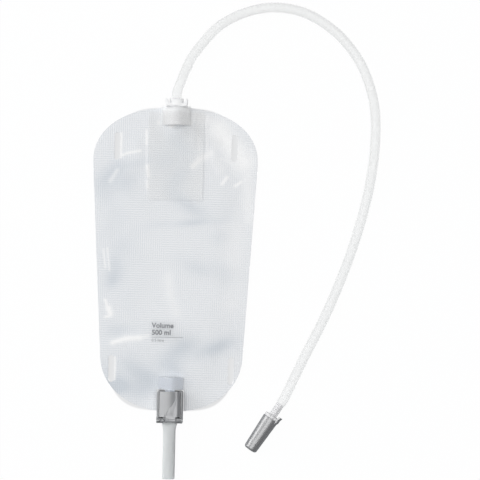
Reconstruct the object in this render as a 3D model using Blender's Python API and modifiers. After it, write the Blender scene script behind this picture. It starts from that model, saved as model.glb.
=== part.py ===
"""A 500 ml urine drainage leg bag, lying flat on its back.

Metres, +Z up. The panel's middle is the origin, on the surface that the bag lies on.
+Y points to the inlet, and +X to the right in the view from the front.
"""
import math

import bmesh
import bpy
import numpy as np
from mathutils import Matrix, Vector

MM = 0.001

# Clearances
GAP = 0.3 * MM  # between pieces that touch on the real bag
SIDE_CLEARANCE = 0.5 * MM  # round the clamp in the panel's notch
REACH_IN = 0.5 * MM  # how far an added shape reaches into what it joins
LAYER_RISE = 0.6 * MM  # each film stands this much higher over a port than what it covers
LAYER_SPREAD = 2.2 * MM  # and its tent is this much wider on each side

# Panel outline, the same for the backing and both films
PANEL_LENGTH = 246.5 * MM
PANEL_TOP_WIDTH = 133.2 * MM  # where the top end starts to round off
PANEL_BOTTOM_WIDTH = 115.4 * MM  # where the bottom end starts to round off
TOP_RISE = 47.7 * MM
BOTTOM_RISE = 44.4 * MM
END_ROUNDNESS = 2.2  # 2 is an ellipse, more is squarer
PANEL_EDGE_POINTS = 132
PANEL_CURVE_POINTS = 60  # along each rounded quarter, before they are spread evenly
PANEL_MEASURE_POINTS = 480  # round the edge, for distances to it
PANEL_END_CROWDING = 0.7

# Sheet thicknesses
BACKING_THICKNESS = 0.35 * MM
FILM_THICKNESS = 0.2 * MM
FLAP_THICKNESS = 0.2 * MM

# Strap slots
SLOT_WIDTH = 4.6 * MM
SLOT_LENGTH = 22.0 * MM
TOP_SLOT_INSET = 32.25 * MM  # from the panel's top edge to the slots' middle
TOP_SLOT_MARGIN = 17.37 * MM  # from the panel's side edge there to the slots' middle line
BOTTOM_SLOT_INSET = 33.75 * MM
BOTTOM_SLOT_MARGIN = 7.46 * MM
SLOT_LAND = 4.0 * MM  # flat weld between each slot and the chamber
SLOT_SHOULDER = 11.0 * MM  # from the land up to the chamber's full height
SLOT_END_POINTS = 7

# Chamber between the films
SIDE_WELD = 4.5 * MM
END_WELD = 8.5 * MM
END_WELD_REACH = 0.6  # share of each end over which the weld widens
CHAMBER_HEIGHT = 7.0 * MM
CHAMBER_SHOULDER = 26.0 * MM
FILM_TRIM = 3.0 * MM  # the front film is drawn this much larger than the panel and cut to it
FILM_COLUMNS = 30
FILM_ROWS = 46
FILM_COLUMN_CROWDING = 0.3  # columns lie closer in the middle, where the ports are
FILM_ROW_CROWDING = 0.25  # rows lie closer at both ends
# Broad dents and swells of the empty chamber: x, y, reach along x, reach along y, rise
FILM_SWELLS = (
    (-34 * MM, 62 * MM, 15 * MM, 20 * MM, 1.2 * MM),
    (-14 * MM, 28 * MM, 18 * MM, 16 * MM, -1.3 * MM),
    (30 * MM, 48 * MM, 20 * MM, 14 * MM, 1.0 * MM),
    (32 * MM, 4 * MM, 16 * MM, 24 * MM, -1.2 * MM),
    (-36 * MM, -14 * MM, 14 * MM, 22 * MM, 1.2 * MM),
    (-40 * MM, -50 * MM, 14 * MM, 9 * MM, -1.6 * MM),
    (8 * MM, -42 * MM, 22 * MM, 14 * MM, 1.1 * MM),
    (34 * MM, -60 * MM, 14 * MM, 13 * MM, -1.1 * MM),
)

# Anti-reflux valve: two flap films hanging from the inlet port
FLAP_WIDTH = 45.0 * MM
FLAP_LENGTH = 71.0 * MM
FLAP_EDGE_MARGIN = 4.0 * MM  # from the panel's top edge to the flaps' top edge
FLAP_COLUMNS = 26
FLAP_ROWS = 22
FLAP_SLACK = 0.15 * MM  # more than the gap between the flaps and the front film
FLAP_RAISE_MARGIN = 2.5 * MM  # the front film is held up this far past the flaps' edges
FLAP_RAISE_SHOULDER = 4.0 * MM

# Inlet port
INLET_BORE = 5.4 * MM
INLET_WALL = 1.2 * MM
INLET_AXIS_Z = 5.6 * MM
INLET_TENT_HALF_WIDTH = 14.0 * MM  # where the boat's sides would thin out to nothing
INLET_BOAT_HALF_WIDTH = 11.5 * MM
INLET_BOAT_LENGTH = 14.5 * MM
INLET_FLANGE_WIDTH = 17.0 * MM
INLET_FLANGE_THICKNESS = 2.6 * MM
INLET_FLANGE_HEIGHT = 9.2 * MM
INLET_EAR_WIDTH = 1.8 * MM
INLET_EAR_LENGTH = 3.4 * MM
INLET_EAR_FLARE = 0.6 * MM
INLET_COLLAR_DIAMETER = 11.0 * MM
INLET_COLLAR_LENGTH = 3.6 * MM
INLET_TENT_START = 36.0 * MM  # how far from the panel's top edge the tents over the port reach
INLET_TENT_FULL = 17.0 * MM
BOAT_POINTS = 25  # across each weld boat's top

# Clamp on the outlet tube
CLAMP_WIDTH = 21.0 * MM
CLAMP_LENGTH = 25.8 * MM
CLAMP_DROP = 8.7 * MM  # how far the clamp reaches past the panel's bottom edge
CLAMP_BASE_THICKNESS = 1.4 * MM
CLAMP_WALL = 1.8 * MM
CLAMP_WALL_HEIGHT = 10.4 * MM
CLAMP_LEDGE = 1.3 * MM
CLAMP_LEDGE_HEIGHT = 7.2 * MM
CLAMP_OUTER_ROUNDING = 1.3 * MM
CLAMP_INNER_ROUNDING = 0.3 * MM
CLAMP_FOOT_ROUNDING = 0.5 * MM
CLAMP_TOP_CORNER = 1.8 * MM  # rounding seen from above, at the end by the panel
CLAMP_BOTTOM_CORNER = 0.8 * MM
CLAMP_WEB_DROP = 1.0 * MM  # how far the knuckles' webs reach down into the walls
CLAMP_WEB_INSET = 0.1 * MM
CLAMP_KNUCKLE_WIDTH = 5.6 * MM
HINGE_INSET = 2.3 * MM  # from the clamp's bottom edge to the hinge axis
HINGE_Z = 10.9 * MM
HINGE_KNUCKLE_RADIUS = 2.2 * MM
HINGE_PIN_RADIUS = 1.0 * MM
LEVER_UNDERSIDE_Z = 9.4 * MM
LEVER_PLATE_Z = 10.4 * MM  # lowest part of the plate's top
LEVER_CREST_Z = 12.5 * MM
LEVER_CREST_X = -6.0 * MM
LEVER_CREST_RADIUS = 26.0 * MM
LEVER_CREST_POINTS = 19
LEVER_ROUNDING = 0.5 * MM
LEVER_SKIRT = 1.0 * MM
LEVER_FLAP_Z = 12.9 * MM
LEVER_FLAP_LOW_Z = 11.5 * MM  # where the flap dips below the plate beside the hinge
LEVER_FLAP_RIM_Z = 11.3 * MM  # its right edge
LEVER_FLAP_RIM_WIDTH = 2.4 * MM  # over which it falls off to that edge
LEVER_FLAP_LIP = 0.35 * MM  # bevel along its curved edge
LEVER_FLAP_INSET = 0.3 * MM  # from the plate's right edge
LEVER_FLAP_END_INSET = 0.1 * MM
LEVER_FLAP_SWEEP = 4.4 * MM  # half the sideways run of the raised flap's curved edge
LEVER_FLAP_SHIFT = 0.85 * MM
LEVER_FLAP_TURN = 4.8 * MM  # length over which the edge swings across
LEVER_FLAP_MIDDLE = 12.5 * MM  # from the clamp's top edge to the middle of the swing
LEVER_FLAP_ROWS = 20
LEVER_FLAP_POINTS = 6  # across its top
LEVER_FLAP_RIM_STEPS = (0.35, 0.7, 1.0)  # shares of the rim's width at which it has points
LEVER_BARREL_RADIUS = 1.8 * MM
LEVER_NECK_DROP = 0.4 * MM  # the neck's top lies this far below the barrel's
LEVER_DIMPLE_RADIUS = 0.8 * MM
LEVER_DIMPLE_DEPTH = 0.5 * MM
LEVER_DIMPLE_X = -0.8 * MM
LEVER_ARCH_RADIUS = 4.3 * MM
LEVER_ARCH_RISE = 0.7 * MM
LEVER_ARCH_SIDES = 48
LEVER_DIMPLE_SIDES = 16
HINGE_PIN_SIDES = 24
PINCH_INSET = 12.8 * MM  # from the clamp's top edge to the pinch bar
PINCH_BAR_LENGTH = 2.0 * MM
PINCH_MARGIN = 0.4 * MM  # the tube stays flat this far past the bars

# Outlet tube, soft, pinched flat in the clamp
OUTLET_DIAMETER = 9.9 * MM
OUTLET_WALL = 1.4 * MM
OUTLET_LENGTH = 70.6 * MM
OUTLET_TIP_CLEARANCE = 0.05 * MM  # above the surface that the bag lies on
OUTLET_CLAMP_AXIS_Z = 5.6 * MM
OUTLET_PINCH_HALF_HEIGHT = 1.6 * MM
OUTLET_SPIGOT_HALF_HEIGHT = 3.6 * MM
OUTLET_EXIT_HALF_HEIGHT = 3.35 * MM
OUTLET_EXIT_INSET = 1.0 * MM  # that height is met this far inside the clamp
OUTLET_ROUND_RUN = 6.5 * MM  # from the clamp to where the tube is round again
OUTLET_ROUND_LIFT = 0.2 * MM
OUTLET_STRAIGHT_TIP = 25.0 * MM
OUTLET_EASE_STEPS = 4
OUTLET_SIDES = 28

# Outlet port
OUTLET_BOAT_LENGTH = 10.0 * MM
OUTLET_BOAT_HALF_WIDTH = 10.4 * MM
OUTLET_TENT_HALF_WIDTH = 12.6 * MM
OUTLET_BOAT_TOP_Z = 8.6 * MM
OUTLET_SPIGOT_LENGTH = 6.6 * MM
OUTLET_SPIGOT_WALL = 0.9 * MM
OUTLET_TENT_START = 50.0 * MM
OUTLET_TENT_FULL = 30.0 * MM

# Drainage tube, its route along the surface chosen by eye: x, y and height of its middle line
HOSE_DIAMETER = 8.5 * MM
HOSE_LEAD = 5.0 * MM  # straight stretch at each end
HOSE_STEP = 7.5 * MM
HOSE_CURVE_STEPS = 24  # between two points of its route, before they are spread evenly
HOSE_ROUTE = (
    (2.6 * MM, 142.5 * MM, 5.4 * MM),
    (7.7 * MM, 155.8 * MM, 5.0 * MM),
    (15.0 * MM, 169.0 * MM, 4.5 * MM),
    (33.6 * MM, 190.0 * MM, 4.3 * MM),
    (57.6 * MM, 202.2 * MM, 4.3 * MM),
    (81.7 * MM, 205.5 * MM, 4.3 * MM),
    (106.1 * MM, 200.0 * MM, 4.3 * MM),
    (130.7 * MM, 183.6 * MM, 4.3 * MM),
    (149.4 * MM, 159.0 * MM, 4.3 * MM),
    (159.6 * MM, 129.0 * MM, 4.3 * MM),
    (161.2 * MM, 98.0 * MM, 4.3 * MM),
    (157.6 * MM, 64.0 * MM, 4.3 * MM),
    (149.4 * MM, 28.0 * MM, 4.3 * MM),
    (137.8 * MM, -8.0 * MM, 4.3 * MM),
    (123.4 * MM, -44.0 * MM, 4.4 * MM),
    (107.0 * MM, -78.0 * MM, 5.2 * MM),
    (97.3 * MM, -99.2 * MM, 6.3 * MM),
)

# Connector and its cap, on the tube's far end
CONNECTOR_FACE = (81.8 * MM, -126.4 * MM)  # middle of the flange's face
CONNECTOR_TURN = math.radians(-33.0)
CONNECTOR_FLANGE_RADIUS = 6.2 * MM
CONNECTOR_FLANGE_THICKNESS = 2.5 * MM
CONNECTOR_NECK_RADIUS = 3.25 * MM
CONNECTOR_NECK_LENGTH = 11.0 * MM
CONNECTOR_BORE_RADIUS = 2.0 * MM
CONNECTOR_CONE_LENGTH = 22.0 * MM
CONNECTOR_TIP_RADIUS = 2.9 * MM
CONNECTOR_BARBS = 4
CONNECTOR_BARB_DEPTH = 0.4 * MM
CONNECTOR_BARB_CREST = 0.25  # share of a barb's length at which it is widest
CONNECTOR_BARB_ROOT = 0.1  # and at which it starts
CONNECTOR_SEAT_LENGTH = 4.0 * MM
CONNECTOR_SEAT_CLEARANCE = 0.45 * MM
CAP_LENGTH = 30.2 * MM
CAP_MOUTH_RADIUS = 6.7 * MM
CAP_END_RADIUS = 5.6 * MM
CAP_WALL = 1.2 * MM
CAP_END_ROUNDING = 2.0 * MM
CAP_END_POINTS = 6
CAP_TAB_WIDTH = 3.6 * MM
CAP_TAB_THICKNESS = 1.0 * MM
CAP_TAB_REACH = 5.0 * MM
CAP_TAB_ROOT = 3.0 * MM
CAP_TAB_HEAD = 1.9 * MM  # thickness of its wedge-shaped head
CAP_TAB_TURN = math.radians(35)  # up from level, round the cap's own axis
CAP_FLOOR_CLEARANCE = 0.1 * MM

TURNED_SIDES = 40
ROD_SIDES = 32
FILLET_STEPS = 4

# Heights of the layers
BACK_FILM_Z = BACKING_THICKNESS + GAP
FILM_RIM_Z = BACK_FILM_Z + FILM_THICKNESS + GAP
BACK_FLAP_Z = FILM_RIM_Z
INLET_BOAT_Z = BACK_FLAP_Z + FLAP_THICKNESS + GAP
FRONT_FLAP_Z = INLET_BOAT_Z
OUTLET_BOAT_Z = FILM_RIM_Z
FLAP_PLATEAU = FRONT_FLAP_Z + FLAP_THICKNESS + GAP + FLAP_SLACK - FILM_RIM_Z

# Places along the panel
TOP_EDGE_Y = PANEL_LENGTH / 2
BOTTOM_EDGE_Y = -PANEL_LENGTH / 2
TOP_CENTRE_Y = TOP_EDGE_Y - TOP_RISE
BOTTOM_CENTRE_Y = BOTTOM_EDGE_Y + BOTTOM_RISE
CLAMP_BOTTOM_Y = BOTTOM_EDGE_Y - CLAMP_DROP
CLAMP_TOP_Y = CLAMP_BOTTOM_Y + CLAMP_LENGTH
CLAMP_HALF_WIDTH = CLAMP_WIDTH / 2
NOTCH_TOP_Y = CLAMP_TOP_Y + SIDE_CLEARANCE
NOTCH_HALF_WIDTH = CLAMP_HALF_WIDTH + SIDE_CLEARANCE
HINGE_Y = CLAMP_BOTTOM_Y + HINGE_INSET
PINCH_Y = CLAMP_TOP_Y - PINCH_INSET
FLAP_TOP_Y = TOP_EDGE_Y - FLAP_EDGE_MARGIN
FLAP_BOTTOM_Y = FLAP_TOP_Y - FLAP_LENGTH
INLET_FLANGE_Y = TOP_EDGE_Y + SIDE_CLEARANCE
INLET_COLLAR_Y = INLET_FLANGE_Y + INLET_FLANGE_THICKNESS
INLET_FACE_Y = INLET_COLLAR_Y + INLET_COLLAR_LENGTH
INLET_BOAT_TOP_Z = INLET_AXIS_Z + INLET_BORE / 2 + INLET_WALL
OUTLET_BOAT_Y = NOTCH_TOP_Y + GAP
OUTLET_TUBE_TOP_Y = OUTLET_BOAT_Y - GAP - SIDE_CLEARANCE - GAP
OUTLET_TIP_Y = OUTLET_TUBE_TOP_Y - OUTLET_LENGTH


# Scene, collections and materials

for old in list(bpy.data.objects):
    bpy.data.objects.remove(old)
for old in list(bpy.data.collections):
    bpy.data.collections.remove(old)

part_collection = bpy.data.collections.new("urine_drainage_bag")
cutter_collection = bpy.data.collections.new("cutters")
for collection in (part_collection, cutter_collection):
    bpy.context.scene.collection.children.link(collection)


def plastic(name, colour, roughness, alpha=1.0):
    """A plain Principled material with a linear colour."""
    material = bpy.data.materials.new(name)
    material.use_nodes = True
    shader = material.node_tree.nodes["Principled BSDF"]
    shader.inputs["Base Color"].default_value = (*colour, 1.0)
    shader.inputs["Roughness"].default_value = roughness
    shader.inputs["Metallic"].default_value = 0.0
    shader.inputs["Alpha"].default_value = alpha
    material.diffuse_color = (*colour, alpha)
    return material


NONWOVEN = plastic("white_nonwoven", (0.80, 0.82, 0.83), 0.9)
BACK_FILM = plastic("matt_clear_film_back", (0.74, 0.79, 0.82), 0.5, 0.6)
FRONT_FILM = plastic("matt_clear_film_front", (0.76, 0.80, 0.83), 0.4, 0.5)
FLAP_FILM_BACK = plastic("valve_film_back", (0.68, 0.72, 0.80), 0.35, 0.6)
FLAP_FILM_FRONT = plastic("valve_film_front", (0.68, 0.72, 0.80), 0.35, 0.6)
PORT_PLASTIC = plastic("clear_port_plastic", (0.78, 0.79, 0.82), 0.3, 0.7)
OUTLET_PORT_PLASTIC = plastic("clear_outlet_port_plastic", (0.72, 0.73, 0.76), 0.3, 0.7)
HOSE_PLASTIC = plastic("clear_corrugated_tube", (0.82, 0.83, 0.84), 0.35, 0.7)
SOFT_TUBE = plastic("soft_outlet_tube", (0.60, 0.66, 0.67), 0.4)
CLAMP_GREY = plastic("clamp_body_grey", (0.33, 0.34, 0.35), 0.4)
LEVER_GREY = plastic("clamp_lever_grey", (0.40, 0.41, 0.41), 0.35)
CONNECTOR_PLASTIC = plastic("clear_connector_plastic", (0.80, 0.81, 0.82), 0.25, 0.7)
CAP_GREY = plastic("cap_grey", (0.34, 0.34, 0.35), 0.4)


# Modelling helpers

def add_object(name, mesh, material=None, collection=part_collection):
    """A mesh object in one of the two collections; a cutter or added shape stays out of renders."""
    made = bpy.data.objects.new(name, mesh)
    collection.objects.link(made)
    if material:
        mesh.materials.append(material)
    if collection is cutter_collection:
        made.display_type = "WIRE"
        made.hide_render = True
    return made


def mesh_of(bm, name):
    """The bmesh as a mesh with its faces pointing outwards."""
    bmesh.ops.recalc_face_normals(bm, faces=bm.faces)
    mesh = bpy.data.meshes.new(name)
    bm.to_mesh(mesh)
    bm.free()
    return mesh


def block(name, low, high, rounding=0.0, collection=cutter_collection):
    """A box between two corners, its edges rounded if asked."""
    bm = bmesh.new()
    bmesh.ops.create_cube(bm, size=1.0)
    low, high = Vector(low), Vector(high)
    bmesh.ops.scale(bm, vec=high - low, verts=bm.verts)
    bmesh.ops.translate(bm, vec=(low + high) / 2, verts=bm.verts)
    if rounding:
        bmesh.ops.bevel(bm, geom=bm.edges[:], offset=rounding, segments=2, profile=0.5, affect="EDGES")
    return add_object(name, mesh_of(bm, name), collection=collection)


def rod(name, start, end, radius, sides=ROD_SIDES, collection=cutter_collection):
    """A cylinder between two points."""
    start, end = Vector(start), Vector(end)
    bm = bmesh.new()
    bmesh.ops.create_cone(
        bm, cap_ends=True, segments=sides, radius1=radius, radius2=radius, depth=(end - start).length
    )
    turn = (end - start).to_track_quat("Z", "Y").to_matrix().to_4x4()
    bmesh.ops.transform(bm, matrix=Matrix.Translation((start + end) / 2) @ turn, verts=bm.verts)
    return add_object(name, mesh_of(bm, name), collection=collection)


def filleted(corners):
    """An outline from corners (across, up, radius), with arcs at those that have a radius."""
    points = []
    for k, (across, up, radius) in enumerate(corners):
        corner = Vector((across, up))
        if not radius:
            points.append(tuple(corner))
            continue
        before = (Vector(corners[k - 1][:2]) - corner).normalized()
        after = (Vector(corners[(k + 1) % len(corners)][:2]) - corner).normalized()
        half_angle = before.angle(after) / 2
        centre = corner + (before + after).normalized() * radius / math.sin(half_angle)
        reach = radius / math.tan(half_angle)
        first = corner + before * reach - centre
        last = corner + after * reach - centre
        for step in range(FILLET_STEPS + 1):
            share = step / FILLET_STEPS
            points.append(tuple(centre + first.lerp(last, share).normalized() * radius))
    return points


def outline_solid(name, points, thickness, placing, material=None, collection=cutter_collection):
    """A closed flat outline, filled and given thickness about its own plane, then placed."""
    curve = bpy.data.curves.new(name, "CURVE")
    curve.dimensions = "2D"
    curve.fill_mode = "BOTH"
    curve.extrude = thickness / 2
    spline = curve.splines.new("POLY")
    spline.points.add(len(points) - 1)
    for point, (across, up) in zip(spline.points, points):
        point.co = (across, up, 0.0, 1.0)
    spline.use_cyclic_u = True
    drawn = bpy.data.objects.new(name + "_outline", curve)
    bpy.context.scene.collection.objects.link(drawn)
    drawn.matrix_world = placing
    bpy.context.view_layer.update()
    evaluated = drawn.evaluated_get(bpy.context.evaluated_depsgraph_get())
    mesh = bpy.data.meshes.new_from_object(evaluated)
    bm = bmesh.new()
    bm.from_mesh(mesh)
    bmesh.ops.remove_doubles(bm, verts=bm.verts, dist=0.001 * MM)
    bpy.data.meshes.remove(mesh)
    made = add_object(name, mesh_of(bm, name), material, collection)
    made.matrix_world = drawn.matrix_world.copy()
    bpy.data.objects.remove(drawn)
    return made


def combine(target, other, operation):
    """Adds an exact Boolean of the other solid to the target."""
    step = target.modifiers.new(operation.lower() + "_" + other.name, "BOOLEAN")
    step.operation = operation
    step.object = other
    step.solver = "EXACT"


def turned(name, profile, material, closed, parent):
    """A profile of (radius, height) points turned round the parent's own Z axis."""
    mesh = bpy.data.meshes.new(name)
    joints = [(k, k + 1) for k in range(len(profile) - 1)]
    if closed:
        joints.append((len(profile) - 1, 0))
    mesh.from_pydata([(radius, 0.0, height) for radius, height in profile], joints, [])
    made = add_object(name, mesh, material)
    made.parent = parent
    screw = made.modifiers.new("turn", "SCREW")
    screw.axis = "Z"
    screw.angle = math.tau
    screw.steps = TURNED_SIDES
    screw.render_steps = TURNED_SIDES
    screw.use_merge_vertices = True
    screw.merge_threshold = 0.005 * MM
    screw.use_smooth_shade = True
    return made


def lofted(name, loops, material=None, ends="ring", collection=part_collection):
    """Faces between loops of equally many points; the two ends get caps or join as a ring."""
    bm = bmesh.new()
    rows = [[bm.verts.new(point) for point in loop] for loop in loops]
    pairs = list(zip(rows, rows[1:]))
    if ends == "ring":
        pairs.append((rows[-1], rows[0]))
    if ends == "caps":
        bm.faces.new(rows[0])
        bm.faces.new(rows[-1][::-1])
    for first, second in pairs:
        for k in range(len(first)):
            after = (k + 1) % len(first)
            bm.faces.new((first[k], first[after], second[after], second[k]))
    bmesh.ops.remove_doubles(bm, verts=bm.verts, dist=0.001 * MM)
    bmesh.ops.dissolve_degenerate(bm, edges=bm.edges, dist=0.001 * MM)
    return add_object(name, mesh_of(bm, name), material, collection)


def rounded_shading(made, angle=math.radians(40)):
    """Smooth shading with sharp edges kept."""
    made.data.shade_smooth()
    made.data.set_sharp_from_angle(angle=angle)


UPRIGHT = Matrix.Rotation(math.radians(90), 4, "X")  # an outline's x and y stand as X and Z


# Shared forms of the panel

def smooth_step(value):
    """0 below 0, 1 above 1 and an even rise between."""
    value = np.clip(value, 0.0, 1.0)
    return value * value * (3.0 - 2.0 * value)


def panel_half_width(y):
    """The panel's taper, before its ends round off."""
    share = (y - BOTTOM_CENTRE_Y) / (TOP_CENTRE_Y - BOTTOM_CENTRE_Y)
    return (PANEL_BOTTOM_WIDTH + share * (PANEL_TOP_WIDTH - PANEL_BOTTOM_WIDTH)) / 2


def panel_side_x(y):
    """Half the panel's width, its rounded ends included."""
    into_end = np.maximum((y - TOP_CENTRE_Y) / TOP_RISE, (BOTTOM_CENTRE_Y - y) / BOTTOM_RISE)
    rounding = 1.0 - np.clip(into_end, 0.0, 1.0) ** END_ROUNDNESS
    return panel_half_width(y) * rounding ** (1 / END_ROUNDNESS)


def slot_centre(side, y, margin):
    """The middle of a strap slot, a margin in from the panel's side edge."""
    return side * (float(panel_side_x(y)) - margin), y


SLOT_CENTRES = tuple(
    slot_centre(side, y, margin)
    for y, margin in (
        (TOP_EDGE_Y - TOP_SLOT_INSET, TOP_SLOT_MARGIN),
        (BOTTOM_EDGE_Y + BOTTOM_SLOT_INSET, BOTTOM_SLOT_MARGIN),
    )
    for side in (-1, 1)
)


def panel_edge(count, crowding=0.0):
    """Points round the panel anticlockwise from the bottom's middle; crowding draws them to both ends."""
    angles = np.linspace(0.0, math.pi / 2, PANEL_CURVE_POINTS)
    along = np.sin(angles) ** (2 / END_ROUNDNESS)
    out = np.abs(np.cos(angles)) ** (2 / END_ROUNDNESS)
    bottom = np.column_stack([out, BOTTOM_CENTRE_Y - BOTTOM_RISE * along])[::-1]
    top = np.column_stack([out, TOP_CENTRE_Y + TOP_RISE * along])
    right = np.vstack([bottom, top])
    right[:, 0] *= panel_half_width(right[:, 1])
    left = (right * (-1.0, 1.0))[-2::-1]
    edge = np.vstack([right, left])
    walked = np.concatenate([[0.0], np.cumsum(np.linalg.norm(np.diff(edge, axis=0), axis=1))])
    share = np.arange(count) / count
    share = share - crowding / (4 * math.pi) * np.sin(4 * math.pi * share)
    return np.column_stack([np.interp(share * walked[-1], walked, edge[:, k]) for k in (0, 1)])


def tent(x, height, half_width):
    """The height of a film or boat across a port: highest in the middle, thinning out at the sides."""
    reach = np.clip(np.abs(x) / half_width, 0.0, 1.0)
    return height * np.cos(reach * math.pi / 2) ** 2


def inlet_tent(x, y, flat_z, layers):
    """How far a film that lies at flat_z is lifted by the inlet boat and the layers between."""
    height = INLET_BOAT_TOP_Z + layers * LAYER_RISE - flat_z
    start = INLET_TENT_START + (layers - 1) * 3 * LAYER_SPREAD
    fade = smooth_step((y - (TOP_EDGE_Y - start)) / (start - INLET_TENT_FULL))
    return tent(x, height, INLET_TENT_HALF_WIDTH + layers * LAYER_SPREAD) * fade


def outlet_tent(x, y):
    """How far the front film is lifted by the outlet boat."""
    height = OUTLET_BOAT_TOP_Z + LAYER_RISE - FILM_RIM_Z
    fade = smooth_step((BOTTOM_EDGE_Y + OUTLET_TENT_START - y) / (OUTLET_TENT_START - OUTLET_TENT_FULL))
    return tent(x, height, OUTLET_TENT_HALF_WIDTH + LAYER_SPREAD) * fade


def flap_lift(x, y):
    """The low plateau over the valve flaps, which holds up to their edges and a little past."""
    past_side = (np.abs(x) - FLAP_WIDTH / 2 - FLAP_RAISE_MARGIN) / FLAP_RAISE_SHOULDER
    past_end = (FLAP_BOTTOM_Y - FLAP_RAISE_MARGIN - y) / FLAP_RAISE_SHOULDER
    return FLAP_PLATEAU * (1 - smooth_step(past_side)) * (1 - smooth_step(past_end))


def slot_distance(x, y, centre):
    """Distance from a strap slot's middle line; what lies between it and the panel's edge counts as 0."""
    straight = (SLOT_LENGTH - SLOT_WIDTH) / 2
    past = np.maximum(np.abs(y - centre[1]) - straight, 0.0)
    inward = np.maximum((centre[0] - x) * math.copysign(1.0, centre[0]), 0.0)
    return np.hypot(inward, past)


def chamber_lift(x, y):
    """The empty chamber's own height: flat on the welds, with broad dents and swells inside."""
    edge = panel_edge(PANEL_MEASURE_POINTS)
    inside = np.min(np.hypot(x[:, None] - edge[:, 0], y[:, None] - edge[:, 1]), axis=1)
    inside = np.where(np.abs(x) < panel_side_x(y), inside, 0.0)
    widening = smooth_step((np.abs(y) - TOP_CENTRE_Y) / (TOP_RISE * END_WELD_REACH))
    weld = SIDE_WELD + (END_WELD - SIDE_WELD) * widening
    chamber = smooth_step((inside - weld) / CHAMBER_SHOULDER)
    for centre in SLOT_CENTRES:
        land = SLOT_WIDTH / 2 + SLOT_LAND
        chamber = chamber * smooth_step((slot_distance(x, y, centre) - land) / SLOT_SHOULDER)
    height = np.full_like(x, CHAMBER_HEIGHT)
    for at_x, at_y, reach_x, reach_y, rise in FILM_SWELLS:
        height += rise * np.exp(-(((x - at_x) / reach_x) ** 2) - ((y - at_y) / reach_y) ** 2)
    return chamber * height


def front_film_lift(x, y):
    """The front film's height over its flat rim."""
    parts = (chamber_lift(x, y), inlet_tent(x, y, FILM_RIM_Z, 2), outlet_tent(x, y), flap_lift(x, y))
    return sum(part**3 for part in parts) ** (1 / 3)


# Strap slots and the clamp's notch, cut through every sheet of the panel

def slot_outline():
    """A stadium along Y round the origin."""
    radius = SLOT_WIDTH / 2
    straight = (SLOT_LENGTH - SLOT_WIDTH) / 2
    angles = np.linspace(0.0, math.pi, SLOT_END_POINTS)
    top = [(radius * math.cos(a), straight + radius * math.sin(a)) for a in angles]
    return top + [(-x, -y) for x, y in top]


def make_panel_cutters():
    """Four slots and one notch, tall enough for every sheet."""
    height = 4 * (CHAMBER_HEIGHT + OUTLET_BOAT_TOP_Z)
    cutters = [
        outline_solid(f"slot_cutter_{k}", slot_outline(), height, Matrix.Translation((x, y, 0.0)))
        for k, (x, y) in enumerate(SLOT_CENTRES)
    ]
    low = (-NOTCH_HALF_WIDTH, BOTTOM_EDGE_Y - BOTTOM_RISE, -height / 2)
    high = (NOTCH_HALF_WIDTH, NOTCH_TOP_Y, height / 2)
    cutters.append(block("notch_cutter", low, high))
    return cutters


def cut_panel(sheet, cutters):
    """Takes the slots and the notch out of a sheet."""
    for cutter in cutters:
        combine(sheet, cutter, "DIFFERENCE")


# Panel sheets

def make_flat_sheet(name, bottom, thickness, material, cutters):
    """A flat sheet in the panel's outline."""
    placing = Matrix.Translation((0.0, 0.0, bottom + thickness / 2))
    edge = panel_edge(PANEL_EDGE_POINTS, PANEL_END_CROWDING)
    sheet = outline_solid(name, edge, thickness, placing, material, part_collection)
    cut_panel(sheet, cutters)


def front_film_height(x, y):
    """The height of the front film's underside at one place."""
    return FILM_RIM_Z + float(front_film_lift(np.array([x]), np.array([y]))[0])


def make_front_film(cutters):
    """The front film: a grid of faces lifted over chamber and ports, and cut to the panel's outline."""
    half_width = PANEL_TOP_WIDTH / 2 + FILM_TRIM
    half_length = PANEL_LENGTH / 2 + FILM_TRIM
    bm = bmesh.new()
    bmesh.ops.create_grid(bm, x_segments=FILM_COLUMNS, y_segments=FILM_ROWS, size=1.0)
    for vertex in bm.verts:
        across, along = vertex.co.x, vertex.co.y
        x = half_width * (across + FILM_COLUMN_CROWDING * (across**3 - across))
        y = half_length * (along - FILM_ROW_CROWDING * (along**3 - along))
        vertex.co = (x, y, front_film_height(x, y))
    # Each face is split along the diagonal that keeps nearer to the true height
    for face in list(bm.faces):
        corners = list(face.verts)
        middle = face.calc_center_median()
        wanted = front_film_height(middle.x, middle.y)
        misses = [abs((corners[k].co.z + corners[k + 2].co.z) / 2 - wanted) for k in (0, 1)]
        first = misses.index(min(misses))
        bmesh.utils.face_split(face, corners[first], corners[first + 2])
    mesh = bpy.data.meshes.new("front_film")
    bm.to_mesh(mesh)
    bm.free()
    film = add_object("front_film", mesh, FRONT_FILM)
    skin = film.modifiers.new("film_thickness", "SOLIDIFY")
    skin.thickness = FILM_THICKNESS
    skin.offset = 1.0
    height = 4 * (CHAMBER_HEIGHT + OUTLET_BOAT_TOP_Z)
    edge = panel_edge(PANEL_EDGE_POINTS, PANEL_END_CROWDING)
    combine(film, outline_solid("film_outline", edge, height, Matrix.Identity(4)), "INTERSECT")
    cut_panel(film, cutters)
    rounded_shading(film)


# Anti-reflux valve

def make_back_flap():
    """The flat flap under the inlet port."""
    half = FLAP_WIDTH / 2
    corners = [(-half, FLAP_BOTTOM_Y), (half, FLAP_BOTTOM_Y), (half, FLAP_TOP_Y), (-half, FLAP_TOP_Y)]
    placing = Matrix.Translation((0.0, 0.0, BACK_FLAP_Z + FLAP_THICKNESS / 2))
    outline_solid("valve_back_flap", corners, FLAP_THICKNESS, placing, FLAP_FILM_BACK, part_collection)


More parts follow.
